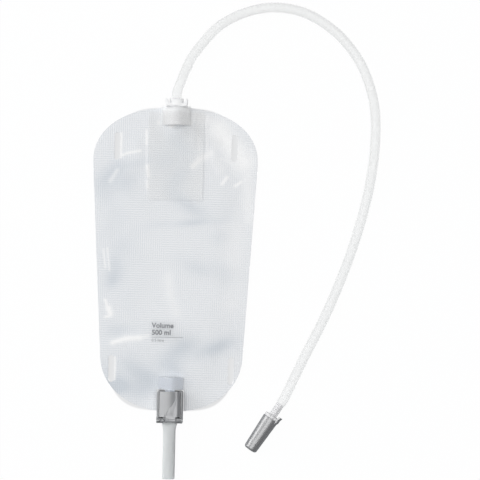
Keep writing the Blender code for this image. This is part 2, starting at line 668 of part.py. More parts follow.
def make_front_flap():
    """The flap that is tented over the inlet port and lies flat below it."""
    bm = bmesh.new()
    bmesh.ops.create_grid(bm, x_segments=FLAP_COLUMNS, y_segments=FLAP_ROWS, size=0.5)
    for vertex in bm.verts:
        x = vertex.co.x * FLAP_WIDTH
        y = FLAP_BOTTOM_Y + (vertex.co.y + 0.5) * FLAP_LENGTH
        lift = float(inlet_tent(np.array([x]), np.array([y]), FRONT_FLAP_Z, 1)[0])
        vertex.co = (x, y, FRONT_FLAP_Z + lift)
    mesh = bpy.data.meshes.new("valve_front_flap")
    bm.to_mesh(mesh)
    bm.free()
    flap = add_object("valve_front_flap", mesh, FLAP_FILM_FRONT)
    skin = flap.modifiers.new("film_thickness", "SOLIDIFY")
    skin.thickness = FLAP_THICKNESS
    skin.offset = 1.0
    rounded_shading(flap)


# Ports

def boat_section(bottom, top, half_width, tent_half_width):
    """The weld boat's section: flat below, thinning out to both sides."""
    across = np.linspace(-half_width, half_width, BOAT_POINTS)
    over = [(x, bottom + float(tent(np.array([x]), top - bottom, tent_half_width)[0])) for x in across]
    return [(half_width, bottom), *reversed(over), (-half_width, bottom)]


def make_inlet_port():
    """Weld boat, flange with two ears and the collar that the drainage tube starts at."""
    inner_y = TOP_EDGE_Y - INLET_BOAT_LENGTH
    boat_length = INLET_FLANGE_Y + GAP - inner_y
    section = boat_section(INLET_BOAT_Z, INLET_BOAT_TOP_Z, INLET_BOAT_HALF_WIDTH, INLET_TENT_HALF_WIDTH)
    placing = Matrix.Translation((0.0, inner_y + boat_length / 2, 0.0)) @ UPRIGHT
    port = outline_solid("inlet_port", section, boat_length, placing, PORT_PLASTIC, part_collection)

    half = INLET_FLANGE_WIDTH / 2
    inner = half - INLET_EAR_WIDTH
    ear_y = INLET_COLLAR_Y + INLET_EAR_LENGTH
    tip = INLET_EAR_WIDTH / 4
    right = [
        (half, INLET_FLANGE_Y, tip),
        (half + INLET_EAR_FLARE, ear_y, tip),
        (inner + INLET_EAR_FLARE, ear_y, tip),
        (inner - INLET_EAR_FLARE, INLET_COLLAR_Y, tip),
    ]
    plan = filleted(right + [(-x, y, rounding) for x, y, rounding in reversed(right)])
    placing = Matrix.Translation((0.0, 0.0, INLET_AXIS_Z))
    combine(port, outline_solid("inlet_flange", plan, INLET_FLANGE_HEIGHT, placing), "UNION")
    axis = (0.0, INLET_AXIS_Z)
    collar = rod(
        "inlet_collar",
        (axis[0], INLET_FLANGE_Y + GAP, axis[1]),
        (axis[0], INLET_FACE_Y, axis[1]),
        INLET_COLLAR_DIAMETER / 2,
        TURNED_SIDES,
    )
    combine(port, collar, "UNION")
    bore = rod(
        "inlet_bore",
        (axis[0], inner_y - INLET_BORE, axis[1]),
        (axis[0], INLET_FACE_Y + INLET_BORE, axis[1]),
        INLET_BORE / 2,
        TURNED_SIDES,
    )
    combine(port, bore, "DIFFERENCE")


def stadium(half_width, half_height, count=OUTLET_SIDES):
    """A ring with straight top and bottom and round sides, its points half a step off the axes."""
    angles = [(k + 0.5) * math.tau / count for k in range(count)]
    shift = half_width - half_height
    return [
        (math.copysign(shift, math.cos(a)) + half_height * math.cos(a), half_height * math.sin(a))
        for a in angles
    ]


def flattened_half_width(half_height):
    """Half the width of the soft tube when it is pressed to a half height: its wall keeps its length."""
    wall_line = (OUTLET_DIAMETER - OUTLET_WALL) / 2
    pressed = half_height - OUTLET_WALL / 2
    return math.pi / 2 * (wall_line - pressed) + pressed + OUTLET_WALL / 2


def make_outlet_port():
    """Weld boat with a flat spigot that the soft outlet tube is pushed on."""
    section = boat_section(
        OUTLET_BOAT_Z, OUTLET_BOAT_TOP_Z, OUTLET_BOAT_HALF_WIDTH, OUTLET_TENT_HALF_WIDTH
    )
    placing = Matrix.Translation((0.0, OUTLET_BOAT_Y + OUTLET_BOAT_LENGTH / 2, 0.0)) @ UPRIGHT
    port = outline_solid(
        "outlet_port", section, OUTLET_BOAT_LENGTH, placing, OUTLET_PORT_PLASTIC, part_collection
    )
    bore_half_height = OUTLET_SPIGOT_HALF_HEIGHT - OUTLET_WALL
    bore_half_width = flattened_half_width(OUTLET_SPIGOT_HALF_HEIGHT) - OUTLET_WALL
    root_y = OUTLET_BOAT_Y + GAP
    end_y = OUTLET_TUBE_TOP_Y - OUTLET_SPIGOT_LENGTH
    spigot_outline = stadium(bore_half_width - GAP, bore_half_height - GAP)
    placing = Matrix.Translation((0.0, (root_y + end_y) / 2, OUTLET_CLAMP_AXIS_Z)) @ UPRIGHT
    combine(port, outline_solid("outlet_spigot", spigot_outline, root_y - end_y, placing), "UNION")
    passage = stadium(
        bore_half_width - GAP - OUTLET_SPIGOT_WALL, bore_half_height - GAP - OUTLET_SPIGOT_WALL
    )
    length = 2 * (OUTLET_BOAT_LENGTH + OUTLET_SPIGOT_LENGTH)
    placing = Matrix.Translation((0.0, root_y, OUTLET_CLAMP_AXIS_Z)) @ UPRIGHT
    combine(port, outline_solid("outlet_passage", passage, 2 * length, placing), "DIFFERENCE")


# Outlet tube

def make_outlet_tube():
    """Soft tube: pushed over the spigot, pinched flat in the clamp and round again at its tip."""
    tip_axis_z = OUTLET_DIAMETER / 2 + OUTLET_TIP_CLEARANCE
    round_half = OUTLET_DIAMETER / 2
    spigot_end = OUTLET_TUBE_TOP_Y - OUTLET_SPIGOT_LENGTH
    flat_half_length = PINCH_BAR_LENGTH / 2 + PINCH_MARGIN
    stations = (
        (OUTLET_TUBE_TOP_Y, OUTLET_SPIGOT_HALF_HEIGHT, OUTLET_CLAMP_AXIS_Z),
        (spigot_end, OUTLET_SPIGOT_HALF_HEIGHT, OUTLET_CLAMP_AXIS_Z),
        (PINCH_Y + flat_half_length, OUTLET_PINCH_HALF_HEIGHT, OUTLET_CLAMP_AXIS_Z),
        (PINCH_Y - flat_half_length, OUTLET_PINCH_HALF_HEIGHT, OUTLET_CLAMP_AXIS_Z),
        (CLAMP_BOTTOM_Y + OUTLET_EXIT_INSET, OUTLET_EXIT_HALF_HEIGHT, OUTLET_CLAMP_AXIS_Z),
        (CLAMP_BOTTOM_Y - OUTLET_ROUND_RUN, round_half, tip_axis_z + OUTLET_ROUND_LIFT),
        (OUTLET_TIP_Y + OUTLET_STRAIGHT_TIP, round_half, tip_axis_z),
        (OUTLET_TIP_Y, round_half, tip_axis_z),
    )
    sections = []
    for (y0, half0, z0), (y1, half1, z1) in zip(stations, stations[1:]):
        pieces = OUTLET_EASE_STEPS if half0 != half1 else 1
        for k in range(pieces):
            share = k / pieces
            eased = float(smooth_step(np.array(share)))
            half = half0 + eased * (half1 - half0)
            sections.append((y0 + share * (y1 - y0), half, z0 + eased * (z1 - z0)))
    sections.append(stations[-1])
    outside, inside = [], []
    for y, half, z in sections:
        half_width = flattened_half_width(half)
        outside.append([(x, y, z + up) for x, up in stadium(half_width, half)])
        bore = stadium(half_width - OUTLET_WALL, half - OUTLET_WALL)
        inside.append([(x, y, z + up) for x, up in bore])
    tube = lofted("outlet_tube", outside + inside[::-1], SOFT_TUBE, ends="ring")
    rounded_shading(tube)


# Clamp

def make_clamp_body():
    """Channel with ledges for the lever, an anvil bar and two hinge knuckles."""
    half = CLAMP_HALF_WIDTH
    wall_x = half - CLAMP_WALL
    ledge_x = wall_x - CLAMP_LEDGE
    right = [
        (half, 0.0, CLAMP_FOOT_ROUNDING),
        (half, CLAMP_WALL_HEIGHT, CLAMP_OUTER_ROUNDING),
        (wall_x, CLAMP_WALL_HEIGHT, CLAMP_INNER_ROUNDING),
        (wall_x, CLAMP_LEDGE_HEIGHT, 0.0),
        (ledge_x, CLAMP_LEDGE_HEIGHT, 0.0),
        (ledge_x, CLAMP_BASE_THICKNESS, 0.0),
    ]
    section = filleted(right + [(-x, z, rounding) for x, z, rounding in reversed(right)])
    middle_y = (CLAMP_TOP_Y + CLAMP_BOTTOM_Y) / 2
    placing = Matrix.Translation((0.0, middle_y, 0.0)) @ UPRIGHT
    body = outline_solid("clamp_body", section, CLAMP_LENGTH, placing, CLAMP_GREY, part_collection)

    anvil_top = OUTLET_CLAMP_AXIS_Z - OUTLET_PINCH_HALF_HEIGHT - GAP
    anvil = block(
        "anvil_bar",
        (-ledge_x - GAP, PINCH_Y - PINCH_BAR_LENGTH / 2, CLAMP_BASE_THICKNESS - GAP),
        (ledge_x + GAP, PINCH_Y + PINCH_BAR_LENGTH / 2, anvil_top),
    )
    combine(body, anvil, "UNION")
    for side in (-1, 1):
        outer_x = side * half
        inner_x = side * (half - CLAMP_KNUCKLE_WIDTH)
        knuckle = rod(
            f"knuckle_{side + 1}",
            (inner_x, HINGE_Y, HINGE_Z),
            (outer_x, HINGE_Y, HINGE_Z),
            HINGE_KNUCKLE_RADIUS,
        )
        combine(body, knuckle, "UNION")
        low_x, high_x = sorted((side * (wall_x + GAP), outer_x))
        web_z = CLAMP_WALL_HEIGHT - CLAMP_OUTER_ROUNDING - CLAMP_WEB_DROP
        web = block(
            f"knuckle_web_{side + 1}",
            (low_x, CLAMP_BOTTOM_Y + CLAMP_WEB_INSET, web_z),
            (high_x, HINGE_Y + HINGE_KNUCKLE_RADIUS, HINGE_Z),
        )
        combine(body, web, "UNION")
    corners = (
        (half, CLAMP_BOTTOM_Y, CLAMP_BOTTOM_CORNER),
        (half, CLAMP_TOP_Y, CLAMP_TOP_CORNER),
        (-half, CLAMP_TOP_Y, CLAMP_TOP_CORNER),
        (-half, CLAMP_BOTTOM_Y, CLAMP_BOTTOM_CORNER),
    )
    plan = outline_solid("clamp_plan", filleted(corners), 4 * HINGE_Z, Matrix.Identity(4))
    combine(body, plan, "INTERSECT")
    pin_hole = rod(
        "hinge_hole",
        (-CLAMP_WIDTH, HINGE_Y, HINGE_Z),
        (CLAMP_WIDTH, HINGE_Y, HINGE_Z),
        HINGE_PIN_RADIUS + GAP,
        HINGE_PIN_SIDES,
    )
    combine(body, pin_hole, "DIFFERENCE")


def flap_edge_x(y):
    """The raised flap's left edge, which swings across the lever."""
    middle_y = CLAMP_TOP_Y - LEVER_FLAP_MIDDLE
    return LEVER_FLAP_SHIFT + LEVER_FLAP_SWEEP * math.tanh((y - middle_y) / LEVER_FLAP_TURN)


def flap_section(y, right_x):
    """The raised flap's section at one place along it, from its curved left edge to its right edge."""
    share = (y - HINGE_Y) / (CLAMP_TOP_Y - HINGE_Y)
    left_x = flap_edge_x(y)
    left_z = LEVER_FLAP_LOW_Z + (LEVER_FLAP_Z - LEVER_FLAP_LOW_Z) * float(smooth_step(np.array(share)))
    ridge_x = right_x - LEVER_FLAP_RIM_WIDTH
    inner_x = left_x + LEVER_FLAP_LIP
    top = []
    for step in np.linspace(0.0, 1.0, LEVER_FLAP_POINTS):
        rise = float(smooth_step(np.array(step)))
        top.append((inner_x + step * (ridge_x - inner_x), left_z + rise * (LEVER_FLAP_Z - left_z)))
    for step in LEVER_FLAP_RIM_STEPS:
        rim_z = LEVER_FLAP_Z - step**2 * (LEVER_FLAP_Z - LEVER_FLAP_RIM_Z)
        top.append((ridge_x + step * LEVER_FLAP_RIM_WIDTH, rim_z))
    bottom_z = LEVER_UNDERSIDE_Z + REACH_IN
    return [(left_x, bottom_z), (left_x, left_z - LEVER_FLAP_LIP), *top, (right_x, bottom_z)]


def make_clamp_lever():
    """Shell plate with skirts, a pinch bar, the raised flap with its curved edge and the hinge pin."""
    half = CLAMP_HALF_WIDTH - CLAMP_WALL - GAP
    skirt_x = half - LEVER_SKIRT
    skirt_z = CLAMP_LEDGE_HEIGHT + GAP
    top_y = CLAMP_TOP_Y - GAP
    knuckle_y = HINGE_Y + HINGE_KNUCKLE_RADIUS + 2 * GAP
    crest = []
    for x in np.linspace(half - LEVER_ROUNDING, LEVER_ROUNDING - half, LEVER_CREST_POINTS):
        drop = (x - LEVER_CREST_X) ** 2 / (2 * LEVER_CREST_RADIUS)
        crest.append((float(x), max(LEVER_CREST_Z - float(drop), LEVER_PLATE_Z), 0.0))
    section = filleted([
        (skirt_x, skirt_z, 0.0),
        (half, skirt_z, 0.0),
        (half, crest[0][1], LEVER_ROUNDING / 2),
        *crest,
        (-half, crest[-1][1], LEVER_ROUNDING / 2),
        (-half, skirt_z, 0.0),
        (-skirt_x, skirt_z, 0.0),
        (-skirt_x, LEVER_UNDERSIDE_Z, 0.0),
        (skirt_x, LEVER_UNDERSIDE_Z, 0.0),
    ])
    hinge = bpy.data.objects.new("clamp_lever_hinge", None)
    part_collection.objects.link(hinge)
    hinge.location = (0.0, HINGE_Y, HINGE_Z)
    to_hinge = Matrix.Translation((0.0, -HINGE_Y, -HINGE_Z))
    bpy.context.view_layer.update()

    placing = Matrix.Translation((0.0, (top_y + knuckle_y) / 2, 0.0)) @ UPRIGHT
    lever = outline_solid("clamp_lever", section, top_y - knuckle_y, placing, LEVER_GREY, part_collection)
    lever.parent = hinge
    lever.matrix_parent_inverse = to_hinge

    # The plate is cut away over the flap's place, and the flap goes in there
    flap_right = half - LEVER_FLAP_INSET
    levels = np.linspace(top_y - LEVER_FLAP_END_INSET, knuckle_y + LEVER_FLAP_END_INSET, LEVER_FLAP_ROWS)
    edge = [(flap_edge_x(float(y)) + LEVER_FLAP_LIP / 2, float(y)) for y in levels]
    over = [
        (edge[0][0], CLAMP_TOP_Y),
        *edge,
        (edge[-1][0], CLAMP_BOTTOM_Y),
        (flap_right - GAP, CLAMP_BOTTOM_Y),
        (flap_right - GAP, CLAMP_TOP_Y),
    ]
    low_z = LEVER_UNDERSIDE_Z + 2 * REACH_IN
    placing = Matrix.Translation((0.0, 0.0, (low_z + 2 * HINGE_Z) / 2))
    combine(lever, outline_solid("flap_place", over, 2 * HINGE_Z - low_z, placing), "DIFFERENCE")
    loops = [[(x, float(y), z) for x, z in flap_section(float(y), flap_right)] for y in levels]
    combine(lever, lofted("lever_flap", loops, ends="caps", collection=cutter_collection), "UNION")

    tongue = CLAMP_HALF_WIDTH - CLAMP_KNUCKLE_WIDTH - GAP
    barrel = rod(
        "lever_barrel",
        (-tongue, HINGE_Y, HINGE_Z),
        (tongue, HINGE_Y, HINGE_Z),
        LEVER_BARREL_RADIUS,
    )
    combine(lever, barrel, "UNION")
    neck = block(
        "lever_neck",
        (-tongue, HINGE_Y, LEVER_UNDERSIDE_Z),
        (tongue, knuckle_y + 2 * REACH_IN, HINGE_Z + LEVER_BARREL_RADIUS - LEVER_NECK_DROP),
    )
    combine(lever, neck, "UNION")
    bar_bottom = OUTLET_CLAMP_AXIS_Z + OUTLET_PINCH_HALF_HEIGHT + GAP
    pinch_bar = block(
        "pinch_bar",
        (-skirt_x - GAP, PINCH_Y - PINCH_BAR_LENGTH / 2, bar_bottom),
        (skirt_x + GAP, PINCH_Y + PINCH_BAR_LENGTH / 2, LEVER_UNDERSIDE_Z + GAP),
    )
    combine(lever, pinch_bar, "UNION")
    arch_y = HINGE_Y - LEVER_BARREL_RADIUS + LEVER_ARCH_RISE - LEVER_ARCH_RADIUS
    arch = rod(
        "lever_arch",
        (0.0, arch_y, 0.0),
        (0.0, arch_y, 2 * HINGE_Z),
        LEVER_ARCH_RADIUS,
        LEVER_ARCH_SIDES,
    )
    combine(lever, arch, "DIFFERENCE")
    dimple_top = HINGE_Z + LEVER_BARREL_RADIUS
    dimple_y = knuckle_y - LEVER_DIMPLE_RADIUS
    dimple = rod(
        "lever_dimple",
        (LEVER_DIMPLE_X, dimple_y, dimple_top - LEVER_NECK_DROP - LEVER_DIMPLE_DEPTH),
        (LEVER_DIMPLE_X, dimple_y, dimple_top + LEVER_DIMPLE_DEPTH),
        LEVER_DIMPLE_RADIUS,
        LEVER_DIMPLE_SIDES,
    )
    combine(lever, dimple, "DIFFERENCE")
    pin_end = CLAMP_HALF_WIDTH - GAP
    pin = rod(
        "hinge_pin",
        (-pin_end, HINGE_Y, HINGE_Z),
        (pin_end, HINGE_Y, HINGE_Z),
        HINGE_PIN_RADIUS,
        HINGE_PIN_SIDES,
    )
    combine(lever, pin, "UNION")


# Drainage tube

def connector_axes():
    """The connector's place, and the direction in which its cap pulls off."""
    place = Vector((*CONNECTOR_FACE, CAP_MOUTH_RADIUS + CAP_FLOOR_CLEARANCE))
    pull = Vector((math.sin(CONNECTOR_TURN), -math.cos(CONNECTOR_TURN), 0.0))
    return place, pull


def smooth_route(points, step):
    """Points at even steps along a smooth curve through the route's points."""
    points = [Vector(point) for point in points]
    ends = [2 * points[0] - points[1], *points, 2 * points[-1] - points[-2]]
    fine = []
    for before, start, stop, after in zip(ends, ends[1:], ends[2:], ends[3:]):
        for k in range(HOSE_CURVE_STEPS):
            t = k / HOSE_CURVE_STEPS
            bend = (2 * before - 5 * start + 4 * stop - after) * t * t
            twist = (3 * start - before - 3 * stop + after) * t * t * t
            fine.append((2 * start + (stop - before) * t + bend + twist) / 2)
    fine.append(points[-1])
    walked = np.concatenate([[0.0], np.cumsum([(b - a).length for a, b in zip(fine, fine[1:])])])
    stops = np.linspace(0.0, walked[-1], round(walked[-1] / step) + 1)
    return [tuple(float(np.interp(s, walked, [p[k] for p in fine])) for k in range(3)) for s in stops]


def make_drainage_tube():
    """The tube from the inlet port's collar to the connector's neck, lying on the surface."""
    face, pull = connector_axes()
    neck_end = face - pull * (CONNECTOR_FLANGE_THICKNESS + CONNECTOR_NECK_LENGTH + GAP)
    start = Vector((0.0, INLET_FACE_Y + GAP, INLET_AXIS_Z))
    lead_in = start + Vector((0.0, HOSE_LEAD, 0.0))
    lead_out = neck_end - pull * HOSE_LEAD
    middle = smooth_route([lead_in, *HOSE_ROUTE, lead_out], HOSE_STEP)
    points = [tuple(start), *middle, tuple(neck_end)]
    curve = bpy.data.curves.new("drainage_tube", "CURVE")
    curve.dimensions = "3D"
    curve.bevel_depth = HOSE_DIAMETER / 2
    curve.bevel_resolution = 3
    curve.use_fill_caps = True
    spline = curve.splines.new("POLY")
    spline.points.add(len(points) - 1)
    for point, place in zip(spline.points, points):
        point.co = (*place, 1.0)
    curve.materials.append(HOSE_PLASTIC)
    hose = bpy.data.objects.new("drainage_tube", curve)
    part_collection.objects.link(hose)


# Connector and cap

def make_connector(holder):
    """Bored connector: neck towards the tube, flange, seat for the cap and a barbed cone."""
    flange_back = -CONNECTOR_FLANGE_THICKNESS
    neck_end = flange_back - CONNECTOR_NECK_LENGTH
    seat_radius = CAP_MOUTH_RADIUS - CAP_WALL - CONNECTOR_SEAT_CLEARANCE
    profile = [
        (CONNECTOR_BORE_RADIUS, CONNECTOR_CONE_LENGTH),
        (CONNECTOR_TIP_RADIUS, CONNECTOR_CONE_LENGTH),
    ]
    barb_length = (CONNECTOR_CONE_LENGTH - CONNECTOR_SEAT_LENGTH) / CONNECTOR_BARBS
    base_radius = seat_radius - CONNECTOR_BARB_DEPTH
    for k in range(1, CONNECTOR_BARBS + 1):
        radius = CONNECTOR_TIP_RADIUS + (base_radius - CONNECTOR_TIP_RADIUS) * k / CONNECTOR_BARBS
        height = CONNECTOR_CONE_LENGTH - k * barb_length
        profile.append((radius + CONNECTOR_BARB_DEPTH, height + CONNECTOR_BARB_CREST * barb_length))
        root = CONNECTOR_BARB_ROOT * barb_length if k < CONNECTOR_BARBS else 0.0
        profile.append((radius, height + root))
    profile += [
        (seat_radius, CONNECTOR_SEAT_LENGTH),
        (seat_radius, 0.0),
        (CONNECTOR_FLANGE_RADIUS, 0.0),
        (CONNECTOR_FLANGE_RADIUS, flange_back),
        (CONNECTOR_NECK_RADIUS, flange_back),
        (CONNECTOR_NECK_RADIUS, neck_end),
        (CONNECTOR_BORE_RADIUS, neck_end),
    ]
    turned("connector", profile, CONNECTOR_PLASTIC, True, holder)


def make_cap(holder):
    """Closed tapered cap with a small pull tab beside the flange."""
    mouth = GAP
    end = mouth + CAP_LENGTH
    fillet = CAP_END_ROUNDING
    profile = [(0.0, end)]
    for angle in np.linspace(math.pi / 2, 0.0, CAP_END_POINTS):
        radius = CAP_END_RADIUS - fillet + fillet * math.cos(angle)
        profile.append((radius, end - fillet + fillet * math.sin(angle)))
    profile += [
        (CAP_MOUTH_RADIUS, mouth),
        (CAP_MOUTH_RADIUS - CAP_WALL, mouth),
        (CAP_END_RADIUS - CAP_WALL, end - fillet),
        (0.0, end - CAP_WALL),
    ]
    cap = turned("connector_cap", profile, CAP_GREY, False, holder)
    tab_inside = CONNECTOR_FLANGE_RADIUS + GAP
    side = [
        (tab_inside - CAP_WALL / 2, mouth + CAP_TAB_ROOT),
        (tab_inside - CAP_WALL / 2, mouth + GAP),
        (tab_inside, mouth + GAP),
        (tab_inside, mouth - CAP_TAB_REACH),
        (tab_inside + CAP_TAB_HEAD, mouth - CAP_TAB_REACH),
        (tab_inside + CAP_TAB_THICKNESS, mouth - CAP_TAB_REACH / 2),
        (tab_inside + CAP_TAB_THICKNESS, mouth),
    ]
    placing = Matrix.Rotation(CAP_TAB_TURN, 4, "Z") @ UPRIGHT
    tab = outline_solid("cap_tab", side, CAP_TAB_WIDTH, placing)
    tab.parent = holder
    combine(cap, tab, "UNION")


def make_connector_and_cap():
    """Both are turned round the pull direction, on an empty in the middle of the flange's face."""
    place, _ = connector_axes()
    holder = bpy.data.objects.new("connector_axis", None)
    part_collection.objects.link(holder)
    holder.location = place
    holder.rotation_euler = (math.radians(90), 0.0, CONNECTOR_TURN)
    make_connector(holder)
    make_cap(holder)


panel_cutters = make_panel_cutters()
make_flat_sheet("backing_sheet", 0.0, BACKING_THICKNESS, NONWOVEN, panel_cutters)
make_flat_sheet("back_film", BACK_FILM_Z, FILM_THICKNESS, BACK_FILM, panel_cutters)
make_front_film(panel_cutters)
make_back_flap()
make_front_flap()
make_inlet_port()
make_outlet_port()
make_outlet_tube()
make_clamp_body()
make_clamp_lever()
make_drainage_tube()
make_connector_and_cap()
bpy.context.view_layer.update()
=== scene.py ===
import math

import bmesh
import bpy
import numpy as np
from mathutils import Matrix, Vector
from mathutils.geometry import delaunay_2d_cdt


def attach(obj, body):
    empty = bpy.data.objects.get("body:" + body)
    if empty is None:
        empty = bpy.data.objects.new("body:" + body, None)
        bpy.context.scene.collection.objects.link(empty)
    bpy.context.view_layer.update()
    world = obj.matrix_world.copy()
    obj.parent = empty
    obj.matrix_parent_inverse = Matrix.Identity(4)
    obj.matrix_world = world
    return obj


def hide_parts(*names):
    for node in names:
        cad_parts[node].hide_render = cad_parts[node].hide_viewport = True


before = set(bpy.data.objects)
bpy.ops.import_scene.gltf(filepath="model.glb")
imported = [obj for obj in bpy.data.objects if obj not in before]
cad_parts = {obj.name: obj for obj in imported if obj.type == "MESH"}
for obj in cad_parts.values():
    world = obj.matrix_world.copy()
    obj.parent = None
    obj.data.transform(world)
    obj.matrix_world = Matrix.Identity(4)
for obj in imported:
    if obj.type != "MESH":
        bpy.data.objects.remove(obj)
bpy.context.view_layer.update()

MM = 0.001


def in_metres(lengths):
    """Lengths or coordinates given in millimetres."""
    return tuple(length * MM for length in lengths)


# Sizes that the solids have too
GAP = 0.3 * MM
PANEL_LENGTH = 246.5 * MM
PANEL_TOP_WIDTH = 133.2 * MM
PANEL_BOTTOM_WIDTH = 115.4 * MM
TOP_RISE = 47.7 * MM
BOTTOM_RISE = 44.4 * MM
END_ROUNDNESS = 2.2
FILM_THICKNESS = 0.2 * MM
BACKING_THICKNESS = 0.35 * MM
SLOT_WIDTH = 4.6 * MM
SLOT_LENGTH = 22.0 * MM
SLOT_LAND = 4.0 * MM
SLOT_SHOULDER = 11.0 * MM
SIDE_WELD = 4.5 * MM
END_WELD = 8.5 * MM
END_WELD_REACH = 0.6
CHAMBER_HEIGHT = 7.0 * MM
CHAMBER_SHOULDER = 26.0 * MM
# Swells and dents of the front film, in millimetres: x, y, reach along x, reach along y and rise
FILM_SWELLS = (
    (-34, 62, 15, 20, 1.2),
    (-14, 28, 18, 16, -1.3),
    (30, 48, 20, 14, 1.0),
    (32, 4, 16, 24, -1.2),
    (-36, -14, 14, 22, 1.2),
    (-40, -50, 14, 9, -1.6),
    (8, -42, 22, 14, 1.1),
    (34, -60, 14, 13, -1.1),
)
FLAP_WIDTH = 45.0 * MM
FLAP_LENGTH = 71.0 * MM
FLAP_EDGE_MARGIN = 4.0 * MM
FLAP_THICKNESS = 0.2 * MM
FLAP_SLACK = 0.15 * MM
FLAP_RAISE_MARGIN = 2.5 * MM
FLAP_RAISE_SHOULDER = 4.0 * MM
LAYER_RISE = 0.6 * MM
LAYER_SPREAD = 2.2 * MM
INLET_BOAT_TOP_Z = 9.5 * MM
INLET_TENT_HALF_WIDTH = 14.0 * MM
INLET_TENT_START = 36.0 * MM
INLET_TENT_FULL = 17.0 * MM
INLET_AXIS_Z = 5.6 * MM
INLET_FACE_Y = 129.95 * MM
OUTLET_TENT_HALF_WIDTH = 12.6 * MM
OUTLET_BOAT_TOP_Z = 8.6 * MM
OUTLET_TENT_START = 50.0 * MM
OUTLET_TENT_FULL = 30.0 * MM
CLAMP_BOTTOM_Y = -131.95 * MM
PINCH_Y = -118.95 * MM
NOTCH_TOP_Y = -105.65 * MM
NOTCH_HALF_WIDTH = 11.0 * MM
OUTLET_DIAMETER = 9.9 * MM
OUTLET_WALL = 1.4 * MM
OUTLET_TOP_Y = -106.45 * MM
OUTLET_TIP_Y = -177.05 * MM
OUTLET_SPIGOT_END_Y = -113.05 * MM
OUTLET_CLAMP_AXIS_Z = 5.6 * MM
OUTLET_TIP_AXIS_Z = 5.0 * MM

TOP_EDGE_Y = PANEL_LENGTH / 2
BOTTOM_EDGE_Y = -PANEL_LENGTH / 2
TOP_CENTRE_Y = TOP_EDGE_Y - TOP_RISE
BOTTOM_CENTRE_Y = BOTTOM_EDGE_Y + BOTTOM_RISE
FLAP_TOP_Y = TOP_EDGE_Y - FLAP_EDGE_MARGIN
FLAP_BOTTOM_Y = FLAP_TOP_Y - FLAP_LENGTH
BACK_FILM_Z = BACKING_THICKNESS + GAP
FILM_RIM_Z = BACK_FILM_Z + FILM_THICKNESS + GAP
BACK_FLAP_Z = FILM_RIM_Z
FRONT_FLAP_Z = BACK_FLAP_Z + FLAP_THICKNESS + GAP
FLAP_PLATEAU = FRONT_FLAP_Z + FLAP_THICKNESS + GAP + FLAP_SLACK - FILM_RIM_Z
SLOT_CENTRES = (
    (-47.49 * MM, 91.0 * MM),
    (47.49 * MM, 91.0 * MM),
    (-48.49 * MM, -89.5 * MM),
    (48.49 * MM, -89.5 * MM),
)

# Drainage tube
HOSE_DIAMETER = 8.5 * MM
HOSE_LEAD = 5.0 * MM
# Points of its middle line, in millimetres
HOSE_ROUTE = (
    (2.6, 142.5, 5.4),
    (7.7, 155.8, 5.0),
    (15.0, 169.0, 4.5),
    (33.6, 190.0, 4.3),
    (57.6, 202.2, 4.3),
    (81.7, 205.5, 4.3),
    (106.1, 200.0, 4.3),
    (130.7, 183.6, 4.3),
    (149.4, 159.0, 4.3),
    (159.6, 129.0, 4.3),
    (161.2, 98.0, 4.3),
    (157.6, 64.0, 4.3),
    (149.4, 28.0, 4.3),
    (137.8, -8.0, 4.3),
    (123.4, -44.0, 4.4),
    (107.0, -78.0, 5.2),
    (97.3, -99.2, 6.3),
)
CONNECTOR_FACE = Vector((81.8 * MM, -126.4 * MM, 6.8 * MM))
CONNECTOR_TURN = math.radians(-33.0)
CONNECTOR_BACK = 13.5 * MM  # flange and neck together
CORRUGATION_PITCH = 2.4 * MM
CORRUGATION_DEPTH = 0.42 * MM
HOSE_WALL = 0.6 * MM
HOSE_CUFF = 13.0 * MM
HOSE_SIDES = 18
HOSE_RINGS_PER_PITCH = 5

# Fine forms of the films
SHEET_SPACING = 1.15 * MM
BACKING_SPACING = 2.5 * SHEET_SPACING
EDGE_POINTS = 360
NOTCH_CORNER_CLEAR = 0.3 * MM
FLAP_COLUMNS = 57
FLAP_ROWS = 89
SHEET_EDGE_ANGLE = math.radians(50)
WELD_STEP = 0.22 * MM
WELD_STEP_WIDTH = 1.2 * MM

# Creases of the front film, in millimetres: start, end, half width and rise
FILM_CREASES = (
    ((-46.0, 82.5), (-37.0, 85.8), 1.6, 0.7),
    ((-38.0, 85.5), (-28.0, 88.0), 1.5, 0.7),
    ((-48.0, -68.5), (-37.0, -65.2), 2.2, 1.0),
    ((-38.0, -65.3), (-25.0, -64.0), 2.4, 1.1),
    ((-25.5, -64.2), (-16.5, -61.5), 2.0, 0.6),
    ((-54.6, -34.0), (-51.6, -41.0), 1.6, 0.8),
    ((-51.8, -40.5), (-47.6, -47.5), 2.2, 1.0),
    ((48.6, 60.5), (53.6, 64.0), 1.4, 0.6),
    ((38.0, 61.8), (42.0, 67.8), 1.4, 0.6),
    ((28.5, 87.0), (33.0, 90.5), 1.8, 0.5),
    ((27.0, 76.5), (34.0, 82.0), 2.0, 0.5),
    ((-56.9, 8.0), (-54.9, -9.0), 1.0, 0.4),
    ((-53.6, 9.0), (-51.7, -10.0), 1.0, 0.4),
    ((-3.0, -14.0), (0.5, -42.0), 2.6, 0.7),
)

